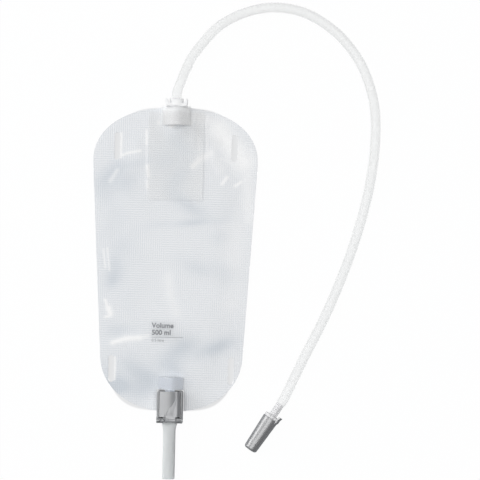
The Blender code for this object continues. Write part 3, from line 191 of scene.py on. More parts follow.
# Painted highlights, mixed white into the films' colour: glints along the front film's creases,
# bright patches where the curved film catches the light and lit edges beside the strap slots:
# start, end and half width in millimetres, and the strength
PAINTED_HIGHLIGHTS = (
    ((-45.7, 82.6), (-38.4, 85.6), 1.1, 0.9),
    ((-38.4, 85.6), (-28.8, 87.5), 1.1, 0.9),
    ((-24.0, 104.0), (-23.8, 93.0), 1.1, 0.9),
    ((-23.8, 93.0), (-23.6, 74.0), 0.8, 0.45),
    ((-22.8, 75.5), (-21.6, 67.0), 1.6, 0.95),
    ((-22.4, 63.0), (-22.0, 57.5), 1.3, 0.8),
    ((-47.9, -68.6), (-37.5, -65.1), 2.0, 1.0),
    ((-37.5, -65.1), (-25.4, -64.0), 2.4, 1.0),
    ((-25.4, -64.0), (-19.6, -62.4), 1.6, 0.6),
    ((-54.6, -33.9), (-52.2, -39.8), 1.2, 0.9),
    ((-52.0, -40.2), (-50.0, -45.0), 2.4, 1.0),
    ((-54.0, -47.6), (-49.5, -46.6), 1.2, 0.9),
    ((48.6, 60.5), (53.4, 63.8), 1.3, 1.0),
    ((38.1, 61.9), (42.0, 67.6), 1.4, 1.0),
    ((14.3, 75.9), (19.8, 81.7), 2.6, 0.85),
    ((19.8, 81.7), (28.6, 86.7), 3.4, 0.7),
    ((30.0, 84.0), (37.0, 74.0), 5.0, 0.35),
    ((-56.9, 7.0), (-54.9, -8.1), 0.8, 0.7),
    ((-53.7, 8.1), (-51.7, -9.6), 0.8, 0.7),
    ((-3.9, -14.2), (-1.9, -28.7), 4.0, 0.4),
    ((-1.9, -28.7), (3.2, -43.2), 4.0, 0.35),
    ((-14.8, 110.8), (-14.2, 110.2), 1.4, 0.8),
    ((11.9, 111.8), (12.1, 110.4), 1.4, 0.9),
    ((-2.9, 121.5), (-2.8, 113.5), 1.1, 0.9),
    ((-4.6, 107.6), (-2.2, 108.8), 1.4, 1.0),
    ((-52.4, 62.5), (-47.0, 71.5), 1.8, 0.5),
    ((-44.6, 82.0), (-44.6, 101.0), 1.1, 1.0),
    ((-45.6, -80.5), (-45.6, -98.5), 0.9, 1.0),
    ((16.7, 114.7), (18.9, 88.9), 0.8, 0.5),
    ((24.0, 113.3), (26.2, 85.0), 0.8, 0.6),
    ((29.7, 110.2), (31.8, 89.2), 0.8, 0.5),
    ((36.0, 82.8), (45.4, 78.2), 0.8, 0.6),
    ((45.4, 78.2), (54.0, 71.9), 0.8, 0.6),
    ((54.0, 71.9), (60.9, 54.3), 0.8, 0.6),
    ((16.0, 117.0), (30.0, 111.0), 6.0, 0.55),
    ((34.0, 106.0), (55.0, 80.0), 10.0, 0.8),
    ((58.0, 76.0), (60.0, 34.0), 6.0, 0.45),
    ((50.0, 34.0), (48.0, -34.0), 10.0, 0.3),
)

# Places where the front film lies on the sheet behind it and looks darker: x, y, reach along x
# and reach along y in millimetres, turn in degrees and strength
CONTACT_PATCHES = (
    (-48, 64, 16, 11, 35, 0.8),
    (-44, 10, 18, 80, 0, 0.2),
    (-30, 78, 9, 4, 20, 0.48),
    (-1, 80, 14, 30, 0, 0.4),
    (16, 42, 18, 7, -25, 0.44),
    (14, 30, 30, 3, 5, 0.48),
    (44, 38, 7, 6, 0, 0.2),
    (38, 18, 9, 7, 0, 0.24),
    (-45, 2, 7, 18, 0, 0.36),
    (-49, -18, 6, 8, 0, 0.4),
    (30, -8, 24, 7, -12, 0.44),
    (46, -24, 7, 14, 20, 0.16),
    (12, -72, 14, 10, 0, 0.6),
    (36, -70, 20, 7, 12, 0.68),
    (-4, -90, 15, 15, 10, 0.64),
    (-34, -96, 24, 15, -15, 0.68),
    (-38, -58, 14, 5, 5, 0.4),
    (-38, -105, 15, 7, 0, 0.8),
)

# Grooves moulded in the clamp's knuckles and its lever, in millimetres: start and end in plan,
# foot and top in height, half the width
KNUCKLE_GROOVES = (
    ((-8.4, -127.0), (-5.2, -128.6), 12.4, 13.4, 0.6),
    ((-9.8, -131.8), (-6.4, -129.2), 11.6, 13.4, 0.8),
    ((5.0, -128.2), (8.0, -127.2), 12.4, 13.4, 0.6),
    ((5.2, -129.8), (8.6, -128.7), 12.4, 13.4, 0.6),
    ((6.0, -130.5), (9.2, -131.6), 11.6, 13.4, 0.8),
)
LEVER_GROOVES = (
    ((-3.5, -124.6), (-3.5, -130.6), 11.9, 13.3, 0.6),
)


# Camera

def aim(made, place, target):
    """Turns a lamp so that it shines from its place to the target."""
    made.location = place
    made.rotation_euler = (Vector(target) - Vector(place)).to_track_quat("-Z", "Y").to_euler()


VIEW_CENTRE = (53.61 * MM, 16.96 * MM)
VIEW_WIDTH = 387.84 * MM
VIEW_DISTANCE = 1.6
VIEW_TURN = math.radians(1.28)
SENSOR = 36.0

camera_data = bpy.data.cameras.new("camera")
camera_data.sensor_width = SENSOR
camera_data.lens = SENSOR * VIEW_DISTANCE / VIEW_WIDTH
camera_data.clip_start = 0.01
camera_data.clip_end = 20.0
camera = bpy.data.objects.new("camera", camera_data)
camera.location = (*VIEW_CENTRE, VIEW_DISTANCE + INLET_AXIS_Z)
camera.rotation_euler = (0.0, 0.0, VIEW_TURN)
bpy.context.scene.collection.objects.link(camera)
bpy.context.scene.camera = camera
bpy.context.scene.view_settings.view_transform = "Standard"


# Materials

def srgb(colour):
    """A hex colour as linear red, green, blue and alpha."""
    parts = [int(colour[k:k + 2], 16) / 255 for k in (1, 3, 5)]
    return (*(p / 12.92 if p <= 0.04045 else ((p + 0.055) / 1.055) ** 2.4 for p in parts), 1.0)


def add_node(tree, kind, settings=None, inputs=None):
    """A node with its settings, its plain values and its links."""
    node = tree.nodes.new(kind)
    for name, value in (settings or {}).items():
        setattr(node, name, value)
    for name, value in (inputs or {}).items():
        if isinstance(value, bpy.types.NodeSocket):
            tree.links.new(value, node.inputs[name])
        else:
            node.inputs[name].default_value = value
    return node


def new_material(name, colour, roughness, settings=None):
    """A material with its Principled shader set; returns the material, its tree and the shader."""
    material = bpy.data.materials.new(name)
    material.use_nodes = True
    tree = material.node_tree
    shader = tree.nodes["Principled BSDF"]
    shader.inputs["Base Color"].default_value = srgb(colour)
    shader.inputs["Roughness"].default_value = roughness
    for socket, value in (settings or {}).items():
        shader.inputs[socket].default_value = value
    return material, tree, shader


def woven_film(name, light, dark, contact, roughness, alpha, strength, bump):
    """Soft film with the weave of the cloth behind it pressed in, patchy and in both directions."""
    material, tree, shader = new_material(name, light, roughness, {"Alpha": alpha})
    place = add_node(tree, "ShaderNodeTexCoord").outputs["Object"]
    # Real threads are 0.3 mm apart; drawn 1.75 and 1.85 mm apart, so that they show
    threads = []
    for direction, pitch in (("X", 1.75 * MM), ("Y", 1.85 * MM)):
        wave = add_node(
            tree,
            "ShaderNodeTexWave",
            {"wave_type": "BANDS", "bands_direction": direction, "wave_profile": "SIN"},
            {
                "Vector": place,
                "Scale": math.pi / 10 / pitch,
                "Distortion": 2.5,
                "Detail": 3.0,
                "Detail Scale": 1.2,
                "Detail Roughness": 0.7,
            },
        )
        threads.append(wave.outputs["Fac"])
    across, along = threads
    patches = add_node(
        tree,
        "ShaderNodeTexNoise",
        {},
        {"Vector": place, "Scale": 34.0, "Detail": 5.0, "Roughness": 0.75},
    )
    more = add_node(
        tree,
        "ShaderNodeMapRange",
        {"interpolation_type": "SMOOTHSTEP"},
        {"Value": patches.outputs["Fac"], "From Min": 0.35, "From Max": 0.65},
    )
    less = add_node(
        tree, "ShaderNodeMath", {"operation": "SUBTRACT"}, {0: 1.0, 1: more.outputs["Result"]}
    )
    threads_x = add_node(
        tree, "ShaderNodeMath", {"operation": "MULTIPLY"}, {0: across, 1: more.outputs["Result"]}
    )
    threads_y = add_node(
        tree,
        "ShaderNodeMath",
        {"operation": "MULTIPLY_ADD"},
        {0: along, 1: less.outputs["Value"], 2: threads_x.outputs["Value"]},
    )
    share = add_node(
        tree,
        "ShaderNodeMath",
        {"operation": "MULTIPLY"},
        {0: threads_y.outputs["Value"], 1: strength},
    )
    weave = add_node(
        tree,
        "ShaderNodeMix",
        {"data_type": "RGBA"},
        {"Factor": share.outputs["Value"], 6: srgb(light), 7: srgb(dark)},
    )
    touching = add_node(tree, "ShaderNodeAttribute", {"attribute_name": "contact"})
    tone = add_node(
        tree,
        "ShaderNodeMix",
        {"data_type": "RGBA", "blend_type": "MULTIPLY"},
        {"Factor": touching.outputs["Fac"], 6: weave.outputs[2], 7: srgb(contact)},
    )
    # Painted highlights: white mixed into the colour where the film's glints and lit patches are
    # painted
    highlight_share = add_node(tree, "ShaderNodeAttribute", {"attribute_name": "painted_highlight"})
    marked = add_node(
        tree,
        "ShaderNodeMix",
        {"data_type": "RGBA"},
        {"Factor": highlight_share.outputs["Fac"], 6: tone.outputs[2], 7: srgb("#FFFFFF")},
    )
    tree.links.new(marked.outputs[2], shader.inputs["Base Color"])
    relief = add_node(
        tree,
        "ShaderNodeBump",
        {},
        {"Strength": 1.0, "Distance": bump, "Height": threads_y.outputs["Value"]},
    )
    tree.links.new(relief.outputs["Normal"], shader.inputs["Normal"])
    return material


def moulded_plastic(name, colour, worn, roughness, settings=None, grain=0.02 * MM, slope_share=1.0):
    """Moulded plastic: even colour with a faint flow pattern and a fine satin grain.

    Light that spreads inside a milky piece evens out its shading: a slope share under 1 shades its
    slopes as if they were gentler.
    """
    material, tree, shader = new_material(name, colour, roughness, settings)
    place = add_node(tree, "ShaderNodeTexCoord").outputs["Object"]
    flow = add_node(
        tree,
        "ShaderNodeTexNoise",
        {},
        {"Vector": place, "Scale": 160.0, "Detail": 3.0, "Roughness": 0.55},
    )
    tone = add_node(
        tree,
        "ShaderNodeMix",
        {"data_type": "RGBA"},
        {"Factor": flow.outputs["Fac"], 6: srgb(colour), 7: srgb(worn)},
    )
    tree.links.new(tone.outputs[2], shader.inputs["Base Color"])
    # Spark-eroded grain of 0.1 mm, drawn 0.5 mm wide so that it shows
    pits = add_node(
        tree,
        "ShaderNodeTexNoise",
        {},
        {"Vector": place, "Scale": 2000.0, "Detail": 1.0, "Roughness": 0.5},
    )
    shine = add_node(
        tree,
        "ShaderNodeMapRange",
        {},
        {
            "Value": pits.outputs["Fac"],
            "From Min": 0.3,
            "From Max": 0.7,
            "To Min": roughness - 0.02,
            "To Max": roughness + 0.03,
        },
    )
    tree.links.new(shine.outputs["Result"], shader.inputs["Roughness"])
    facing = add_node(tree, "ShaderNodeNewGeometry").outputs["Normal"]
    gentler = add_node(
        tree,
        "ShaderNodeVectorMath",
        {"operation": "MULTIPLY"},
        {0: facing, 1: (slope_share, slope_share, 1.0)},
    )
    evened = add_node(
        tree, "ShaderNodeVectorMath", {"operation": "NORMALIZE"}, {0: gentler.outputs["Vector"]}
    )
    relief = add_node(
        tree,
        "ShaderNodeBump",
        {},
        {
            "Strength": 0.5,
            "Distance": grain,
            "Height": pits.outputs["Fac"],
            "Normal": evened.outputs["Vector"],
        },
    )
    tree.links.new(relief.outputs["Normal"], shader.inputs["Normal"])
    return material


def nonwoven_cloth(name, light, dark):
    """Spun-bonded cloth: short fibres lying every way and a dotted bond pattern."""
    sheen = {"Sheen Weight": 0.2, "Sheen Roughness": 0.5}
    material, tree, shader = new_material(name, light, 0.9, sheen)
    place = add_node(tree, "ShaderNodeTexCoord").outputs["Object"]
    fibres = add_node(
        tree,
        "ShaderNodeTexNoise",
        {},
        {"Vector": place, "Scale": 900.0, "Detail": 4.0, "Roughness": 0.7, "Distortion": 1.5},
    )
    # Bond points 1 mm apart, drawn 2 mm apart so that they show
    bonds = add_node(
        tree,
        "ShaderNodeTexVoronoi",
        {"feature": "F1"},
        {"Vector": place, "Scale": 500.0, "Randomness": 0.15},
    )
    tone = add_node(
        tree,
        "ShaderNodeMix",
        {"data_type": "RGBA"},
        {"Factor": fibres.outputs["Fac"], 6: srgb(light), 7: srgb(dark)},
    )
    tree.links.new(tone.outputs[2], shader.inputs["Base Color"])
    height = add_node(
        tree,
        "ShaderNodeMath",
        {"operation": "MULTIPLY_ADD"},
        {0: fibres.outputs["Fac"], 1: 0.4, 2: bonds.outputs["Distance"]},
    )
    relief = add_node(
        tree,
        "ShaderNodeBump",
        {},
        {"Strength": 0.6, "Distance": 0.08 * MM, "Height": height.outputs["Value"]},
    )
    tree.links.new(relief.outputs["Normal"], shader.inputs["Normal"])
    return material


# Spun-bonded polypropylene: matt, white and slightly fibrous
BACKING_CLOTH = nonwoven_cloth("spunbond_polypropylene_white", "#F0F2F3", "#DDE1E4")
# Opaque soft PVC film, calendered: satin, with the cloth's threads showing
BACK_FILM = woven_film(
    "calendered_pvc_film_backed", "#F5F6F8", "#D6DBE0", "#E5E9ED", 0.5, 1.0, 0.65, 0.02 * MM
)
# Clear matt PVC film: thin, hazy and a little glossy
FRONT_FILM = woven_film(
    "clear_matt_pvc_film", "#F6F8F9", "#DDE1E5", "#E5E9ED", 0.45, 0.06, 0.6, 0.02 * MM
)
# Thin polyethylene film, blown and milky, with the same threads pressed in
FLAP_FILM = woven_film(
    "blown_polyethylene_film", "#FBFCFD", "#DEE2E6", "#E5EBF1", 0.42, 1.0, 0.65, 0.02 * MM
)
# The same film as one clear layer
CLEAR_FLAP_FILM = woven_film(
    "blown_polyethylene_film_clear", "#ECEFF3", "#CED3DA", "#E2E9F4", 0.35, 0.01, 0.6, 0.01 * MM
)
# Moulded soft PVC: milky, glossy, light spreads inside it
EVEN_SPREAD = {"Subsurface Radius": (1.0, 1.0, 1.0)}
MILKY = {**EVEN_SPREAD, "Subsurface Weight": 1.0, "Subsurface Scale": 6.0 * MM}
CLOUDY = {**EVEN_SPREAD, "Subsurface Weight": 0.8, "Subsurface Scale": 2.5 * MM}
PORT_PLASTIC = moulded_plastic(
    "moulded_soft_pvc_milky", "#FCFEFF", "#F8FBFF", 0.3, CLOUDY, grain=0.003 * MM, slope_share=0.1
)
OUTLET_PLASTIC = moulded_plastic(
    "moulded_soft_pvc_outlet", "#D7DCE4", "#D1D6DF", 0.5, CLOUDY, grain=0.003 * MM, slope_share=0.1
)
# Extruded soft PVC with corrugated wall: clear, greyish at its edges
HOSE_PLASTIC = moulded_plastic(
    "corrugated_soft_pvc_clear", "#FAFBFB", "#F0F3F3", 0.4, {"Alpha": 0.14}, grain=0.004 * MM
)
# Extruded silicone: milky with a green-grey cast, satin
TUBE_SILICONE = moulded_plastic(
    "extruded_silicone_milky", "#E8F2F3", "#E3ECEE", 0.5, MILKY, grain=0.004 * MM, slope_share=0.3
)
# Moulded ABS, spark-eroded mould: mid grey, satin
SATIN = {"Specular IOR Level": 1.0, "Coat Weight": 1.0, "Coat Roughness": 0.3}
# The channel's grey is darker than the lever's: partly its own tone, partly painted shade for its
# right wall, which faces away from the lamps
CLAMP_ABS = moulded_plastic(
    "moulded_abs_grey", "#8C8E90", "#858789", 0.34, SATIN, grain=0.003 * MM
)
LEVER_ABS = moulded_plastic(
    "moulded_abs_grey_lever", "#95979A", "#8F9193", 0.3, SATIN, grain=0.003 * MM
)
# Moulded polypropylene: darker grey, with a brighter gloss
GLOSSIER = {**SATIN, "Coat IOR": 1.9}
CAP_PLASTIC = moulded_plastic(
    "moulded_polypropylene_grey", "#88898B", "#818284", 0.32, GLOSSIER, grain=0.002 * MM
)
# Moulded clear polypropylene: glossy, milky in the flange
CONNECTOR_PLASTIC = moulded_plastic(
    "moulded_clear_polypropylene", "#FAFAFB", "#F1F1F3", 0.22, {"Alpha": 0.5}, grain=0.003 * MM
)
# Screen-printing ink on film: matt mid grey
PRINT_INK = moulded_plastic("screen_print_ink_grey", "#7E8084", "#8B8D91", 0.6, grain=0.002 * MM)


# Making pieces

def deselect():
    """Nothing selected and nothing active."""
    for made in bpy.context.selected_objects:
        made.select_set(False)
    bpy.context.view_layer.objects.active = None


def choose(made):
    """Selects one object and makes it the active one."""
    deselect()
    made.select_set(True)
    bpy.context.view_layer.objects.active = made


def mesh_piece(name, points, faces, material, smooth=True):
    """A mesh object made from points and faces."""
    mesh = bpy.data.meshes.new(name)
    mesh.from_pydata(points, [], faces)
    mesh.update()
    made = bpy.data.objects.new(name, mesh)
    bpy.context.scene.collection.objects.link(made)
    mesh.materials.append(material)
    if smooth:
        mesh.shade_smooth()
    return made


def dress(made, body, nodes):
    """Puts a piece on its body, in place of CAD nodes, which it hides."""
    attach(made, body)
    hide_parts(*nodes)
    return made


# Cords

def smooth_route(points, step):
    """Points at even steps along a smooth curve through the route's points."""
    points = [Vector(point) for point in points]
    ends = [2 * points[0] - points[1], *points, 2 * points[-1] - points[-2]]
    fine = []
    for before, start, stop, after in zip(ends, ends[1:], ends[2:], ends[3:]):
        for k in range(24):
            t = k / 24
            bend = (2 * before - 5 * start + 4 * stop - after) * t * t
            twist = (3 * start - before - 3 * stop + after) * t * t * t
            fine.append((2 * start + (stop - before) * t + bend + twist) / 2)
    fine.append(points[-1])
    walked = np.concatenate([[0.0], np.cumsum([(b - a).length for a, b in zip(fine, fine[1:])])])
    stops = np.linspace(0.0, walked[-1], round(walked[-1] / step) + 1)
    return np.array([[np.interp(s, walked, [p[k] for p in fine]) for k in range(3)] for s in stops])


def hose_points(step):
    """The tube's middle line from the inlet port to the connector's neck."""
    pull = Vector((math.sin(CONNECTOR_TURN), -math.cos(CONNECTOR_TURN), 0.0))
    neck_end = CONNECTOR_FACE - pull * (CONNECTOR_BACK + GAP)
    start = Vector((0.0, INLET_FACE_Y + GAP, INLET_AXIS_Z))
    lead_in = start + Vector((0.0, HOSE_LEAD, 0.0))
    lead_out = neck_end - pull * HOSE_LEAD
    middle = smooth_route([lead_in, *map(in_metres, HOSE_ROUTE), lead_out], step)
    first = np.linspace(start, lead_in, max(round(HOSE_LEAD / step), 1), endpoint=False)
    last = np.linspace(lead_out, neck_end, max(round(HOSE_LEAD / step), 1) + 1)[1:]
    return np.vstack([first, middle, last])


def ring_faces(rings, sides):
    """Faces between rings of points, the last ring joined to the first."""
    faces = []
    for ring in range(rings):
        here, after = ring * sides, (ring + 1) % rings * sides
        for k in range(sides):
            turn = (k + 1) % sides
            faces.append((here + k, here + turn, after + turn, after + k))
    return faces


def turn_outward(made):
    """Turns every face of a piece outward."""
    bm = bmesh.new()
    bm.from_mesh(made.data)
    bmesh.ops.recalc_face_normals(bm, faces=bm.faces)
    bm.to_mesh(made.data)
    bm.free()


def swept_wall(line, outer, inner, sides):
    """Points and faces of a round tube with an outer and an inner wall along a line."""
    ahead = np.gradient(line, axis=0)
    ahead /= np.linalg.norm(ahead, axis=1)[:, None]
    side = np.cross(ahead, (0.0, 0.0, 1.0))
    side /= np.linalg.norm(side, axis=1)[:, None]
    up = np.cross(side, ahead)
    angles = np.arange(sides) * math.tau / sides
    across, rising = np.cos(angles)[None, :, None], np.sin(angles)[None, :, None]
    around = side[:, None, :] * across + up[:, None, :] * rising
    outside = line[:, None, :] + around * outer[:, None, None]
    inside = line[:, None, :] + around * inner[:, None, None]
    rings = np.concatenate([outside, inside[::-1]]).reshape(-1, 3)
    return rings, ring_faces(2 * len(line), sides)


def make_hose():
    """The corrugated drainage tube with a smooth cuff at each end."""
    line = hose_points(CORRUGATION_PITCH / HOSE_RINGS_PER_PITCH)
    walked = np.concatenate([[0.0], np.cumsum(np.linalg.norm(np.diff(line, axis=0), axis=1))])
    from_end = np.minimum(walked, walked[-1] - walked)
    folded = np.clip((from_end - HOSE_CUFF) / (2 * CORRUGATION_PITCH), 0.0, 1.0)
    wave = 0.5 - 0.5 * np.cos(walked / CORRUGATION_PITCH * math.tau)
    outer = HOSE_DIAMETER / 2 - CORRUGATION_DEPTH * (wave * folded + 0.5 * (1 - folded))
    points, faces = swept_wall(line, outer, outer - HOSE_WALL, HOSE_SIDES)
    hose = mesh_piece("corrugated_drainage_tube", points, faces, HOSE_PLASTIC)
    turn_outward(hose)
    return dress(hose, "bag", ["drainage_tube"])


hose = make_hose()


# Shared forms of the panel

def smooth_step(value):
    """0 below 0, 1 above 1 and an even rise between."""
    value = np.clip(value, 0.0, 1.0)
    return value * value * (3.0 - 2.0 * value)


def panel_half_width(y):
    """The panel's taper, before its ends round off."""
    share = (y - BOTTOM_CENTRE_Y) / (TOP_CENTRE_Y - BOTTOM_CENTRE_Y)
    return (PANEL_BOTTOM_WIDTH + share * (PANEL_TOP_WIDTH - PANEL_BOTTOM_WIDTH)) / 2


def panel_side_x(y):
    """Half the panel's width, its rounded ends included."""
    into_end = np.maximum((y - TOP_CENTRE_Y) / TOP_RISE, (BOTTOM_CENTRE_Y - y) / BOTTOM_RISE)
    rounding = 1.0 - np.clip(into_end, 0.0, 1.0) ** END_ROUNDNESS
    return panel_half_width(y) * rounding ** (1 / END_ROUNDNESS)


def panel_edge(count):
    """Points round the panel anticlockwise from the bottom's middle."""
    angles = np.linspace(0.0, math.pi / 2, 60)
    along = np.sin(angles) ** (2 / END_ROUNDNESS)
    out = np.abs(np.cos(angles)) ** (2 / END_ROUNDNESS)
    bottom = np.column_stack([out, BOTTOM_CENTRE_Y - BOTTOM_RISE * along])[::-1]
    top = np.column_stack([out, TOP_CENTRE_Y + TOP_RISE * along])
    right = np.vstack([bottom, top])
    right[:, 0] *= panel_half_width(right[:, 1])
    left = (right * (-1.0, 1.0))[-2::-1]
    edge = np.vstack([right, left])
    walked = np.concatenate([[0.0], np.cumsum(np.linalg.norm(np.diff(edge, axis=0), axis=1))])
    share = np.arange(count) / count
    return np.column_stack([np.interp(share * walked[-1], walked, edge[:, k]) for k in (0, 1)])


def tent(x, height, half_width):
    """The height of a film across a port: highest in the middle, thinning out at the sides."""
    reach = np.clip(np.abs(x) / half_width, 0.0, 1.0)
    return height * np.cos(reach * math.pi / 2) ** 2


def inlet_tent(x, y, flat_z, layers):
    """How far a film that lies at flat_z is lifted by the inlet boat and the layers between."""
    height = INLET_BOAT_TOP_Z + layers * LAYER_RISE - flat_z
    start = INLET_TENT_START + (layers - 1) * 3 * LAYER_SPREAD
    fade = smooth_step((y - (TOP_EDGE_Y - start)) / (start - INLET_TENT_FULL))
    return tent(x, height, INLET_TENT_HALF_WIDTH + layers * LAYER_SPREAD) * fade


def outlet_tent(x, y):
    """How far the front film is lifted by the outlet boat."""
    height = OUTLET_BOAT_TOP_Z + LAYER_RISE - FILM_RIM_Z
    into = BOTTOM_EDGE_Y + OUTLET_TENT_START - y
    fade = smooth_step(into / (OUTLET_TENT_START - OUTLET_TENT_FULL))
    return tent(x, height, OUTLET_TENT_HALF_WIDTH + LAYER_SPREAD) * fade


def flap_lift(x, y):
    """The low plateau over the valve flaps."""
    past_side = (np.abs(x) - FLAP_WIDTH / 2 - FLAP_RAISE_MARGIN) / FLAP_RAISE_SHOULDER
    past_end = (FLAP_BOTTOM_Y - FLAP_RAISE_MARGIN - y) / FLAP_RAISE_SHOULDER
    return FLAP_PLATEAU * (1 - smooth_step(past_side)) * (1 - smooth_step(past_end))


def slot_distance(x, y, centre):
    """Distance from a strap slot's middle line, and 0 between the slot and the panel's edge."""
    straight = (SLOT_LENGTH - SLOT_WIDTH) / 2
    past = np.maximum(np.abs(y - centre[1]) - straight, 0.0)
    inward = np.maximum((centre[0] - x) * math.copysign(1.0, centre[0]), 0.0)
    return np.hypot(inward, past)


def edge_distance(x, y):
    """Distance in from the panel's edge."""
    edge = panel_edge(480)
    inside = np.full_like(x, 1.0)
    for start in range(0, len(edge), 60):
        part = edge[start:start + 60]
        nearest = np.min(np.hypot(x[:, None] - part[:, 0], y[:, None] - part[:, 1]), axis=1)
        inside = np.minimum(inside, nearest)
    return np.where(np.abs(x) < panel_side_x(y), inside, 0.0)


def weld_distances(x, y):
    """How far each place lies past the weld along the edge, and past the lands round the slots."""
    widening = smooth_step((np.abs(y) - TOP_CENTRE_Y) / (TOP_RISE * END_WELD_REACH))
    weld = SIDE_WELD + (END_WELD - SIDE_WELD) * widening
    past_weld = edge_distance(x, y) - weld
    lands = [slot_distance(x, y, centre) - SLOT_WIDTH / 2 - SLOT_LAND for centre in SLOT_CENTRES]
    return past_weld, lands


def chamber_lift(x, y):
    """The empty chamber's own height: flat on the welds, with broad dents and swells inside."""
    past_weld, lands = weld_distances(x, y)
    chamber = smooth_step(past_weld / CHAMBER_SHOULDER)
    for land in lands:
        chamber = chamber * smooth_step(land / SLOT_SHOULDER)
    height = np.full_like(x, CHAMBER_HEIGHT)
    for at_x, at_y, reach_x, reach_y, rise in map(in_metres, FILM_SWELLS):
        height += rise * np.exp(-(((x - at_x) / reach_x) ** 2) - ((y - at_y) / reach_y) ** 2)
    step = smooth_step(np.minimum(past_weld, np.min(lands, axis=0)) / WELD_STEP_WIDTH)
    return chamber * height + WELD_STEP * step


def distance_from_line(x, y, start, end, least_run=0.0):
    """Distance from a line between two points that are given in millimetres."""
    x0, y0 = in_metres(start)
    x1, y1 = in_metres(end)
    run = max(np.hypot(x1 - x0, y1 - y0), least_run)
    along = np.clip(((x - x0) * (x1 - x0) + (y - y0) * (y1 - y0)) / run**2, 0.0, 1.0)
    return np.hypot(x - x0 - along * (x1 - x0), y - y0 - along * (y1 - y0))


def crease_lift(x, y):
    """Thin ridges along the film's creases."""
    lift = np.zeros_like(x)
    for start, end, half_width, rise in FILM_CREASES:
        away = distance_from_line(x, y, start, end)
        lift = np.maximum(lift, rise * MM * np.exp(-((away / (half_width * MM)) ** 2)))
    return lift


def painted_highlight(x, y):
    """0 on plain film and up to 1 where highlights are painted white on the film."""
    share = np.zeros_like(x)
    for start, end, half_width, strength in PAINTED_HIGHLIGHTS:
        away = distance_from_line(x, y, start, end, half_width * MM)
        share = np.maximum(share, strength * np.exp(-((away / (half_width * MM)) ** 2)))
    return share


def front_film_lift(x, y):
    """The front film's height over its flat rim."""
    over_inlet = inlet_tent(x, y, FILM_RIM_Z, 2)
    parts = (chamber_lift(x, y), over_inlet, outlet_tent(x, y), flap_lift(x, y))
    return sum(part**3 for part in parts) ** (1 / 3) + crease_lift(x, y)


def contact_share(x, y):
    """0 where the front film is free and up to 1 where it lies on the sheet behind it."""
    share = np.zeros_like(x)
    for *place, turn, strength in CONTACT_PATCHES:
        at_x, at_y, reach_x, reach_y = in_metres(place)
        angle = math.radians(turn)
        across = ((x - at_x) * math.cos(angle) + (y - at_y) * math.sin(angle)) / reach_x
        along = ((y - at_y) * math.cos(angle) - (x - at_x) * math.sin(angle)) / reach_y
        share += strength * np.exp(-(across**2 + along**2))
    ripple = 1.0 + 0.35 * np.sin(x / (5.1 * MM) + 1.7 * np.sin(y / (7.3 * MM)))
    return np.clip(share * ripple, 0.0, 1.0)


# Panel sheets

def slot_loop(centre, count=14):
    """Points round a strap slot."""
    radius = SLOT_WIDTH / 2
    top_y = centre[1] + (SLOT_LENGTH - SLOT_WIDTH) / 2
    angles = np.linspace(0.0, math.pi, count // 2)
    top = [(centre[0] + radius * math.cos(a), top_y + radius * math.sin(a)) for a in angles]
    middle = Vector((2 * centre[0], 2 * centre[1]))
    return top + [(middle.x - x, middle.y - y) for x, y in top]


def plan_of_panel(spacing):
    """Points and triangles of the panel seen from above, without its slots and notch."""
    edge = [tuple(point) for point in panel_edge(EDGE_POINTS)]
    foot = float(BOTTOM_CENTRE_Y - BOTTOM_RISE * (
        1 - (NOTCH_HALF_WIDTH / panel_half_width(BOTTOM_EDGE_Y)) ** END_ROUNDNESS
    ) ** (1 / END_ROUNDNESS))
    past_notch = NOTCH_HALF_WIDTH + NOTCH_CORNER_CLEAR
    outer = [point for point in edge if point[1] > 0 or abs(point[0]) > past_notch]
    outer += [
        (-NOTCH_HALF_WIDTH, foot),
        (-NOTCH_HALF_WIDTH, NOTCH_TOP_Y),
        (NOTCH_HALF_WIDTH, NOTCH_TOP_Y),
        (NOTCH_HALF_WIDTH, foot),
    ]
    loops = [outer] + [slot_loop(centre) for centre in SLOT_CENTRES]
    row_step = spacing * math.sqrt(0.75)
    rows = np.arange(BOTTOM_EDGE_Y, TOP_EDGE_Y, row_step)
    xs = np.arange(-PANEL_TOP_WIDTH / 2, PANEL_TOP_WIDTH / 2, spacing)
    x, y = np.meshgrid(xs, rows)
    x = x + (np.arange(len(rows)) % 2)[:, None] * spacing / 2
    x, y = x.ravel(), y.ravel()
    clear = 0.4 * spacing
    kept = edge_distance(x, y) > clear
    kept &= ~((np.abs(x) < NOTCH_HALF_WIDTH + clear) & (y < NOTCH_TOP_Y + clear))
    straight = (SLOT_LENGTH - SLOT_WIDTH) / 2
    for at_x, at_y in SLOT_CENTRES:
        past = np.maximum(np.abs(y - at_y) - straight, 0.0)
        kept &= np.hypot(x - at_x, past) > SLOT_WIDTH / 2 + clear
    points = [Vector(point) for loop in loops for point in loop]
    edges = []
    for loop in loops:
        first = len(edges)
        edges += [(first + k, first + (k + 1) % len(loop)) for k in range(len(loop))]
    points += [Vector(point) for point in zip(x[kept], y[kept])]
    points, _, faces, *_ = delaunay_2d_cdt(points, edges, [], 0, 1e-7)
    points = np.array(points)
    faces = np.array(faces)
    middle = points[faces].mean(axis=1)
    inside = np.abs(middle[:, 0]) < panel_side_x(middle[:, 1])
    inside &= ~((np.abs(middle[:, 0]) < NOTCH_HALF_WIDTH) & (middle[:, 1] < NOTCH_TOP_Y))
    for at_x, at_y in SLOT_CENTRES:
        past = np.maximum(np.abs(middle[:, 1] - at_y) - straight, 0.0)
        inside &= np.hypot(middle[:, 0] - at_x, past) > SLOT_WIDTH / 2
    faces = faces[inside]
    a, b, c = (points[faces[:, k]] for k in range(3))
    turn = (b[:, 0] - a[:, 0]) * (c[:, 1] - a[:, 1]) - (b[:, 1] - a[:, 1]) * (c[:, 0] - a[:, 0])
    faces[turn < 0] = faces[turn < 0][:, ::-1]
    return points, faces, float(np.abs(turn).sum() / 2)


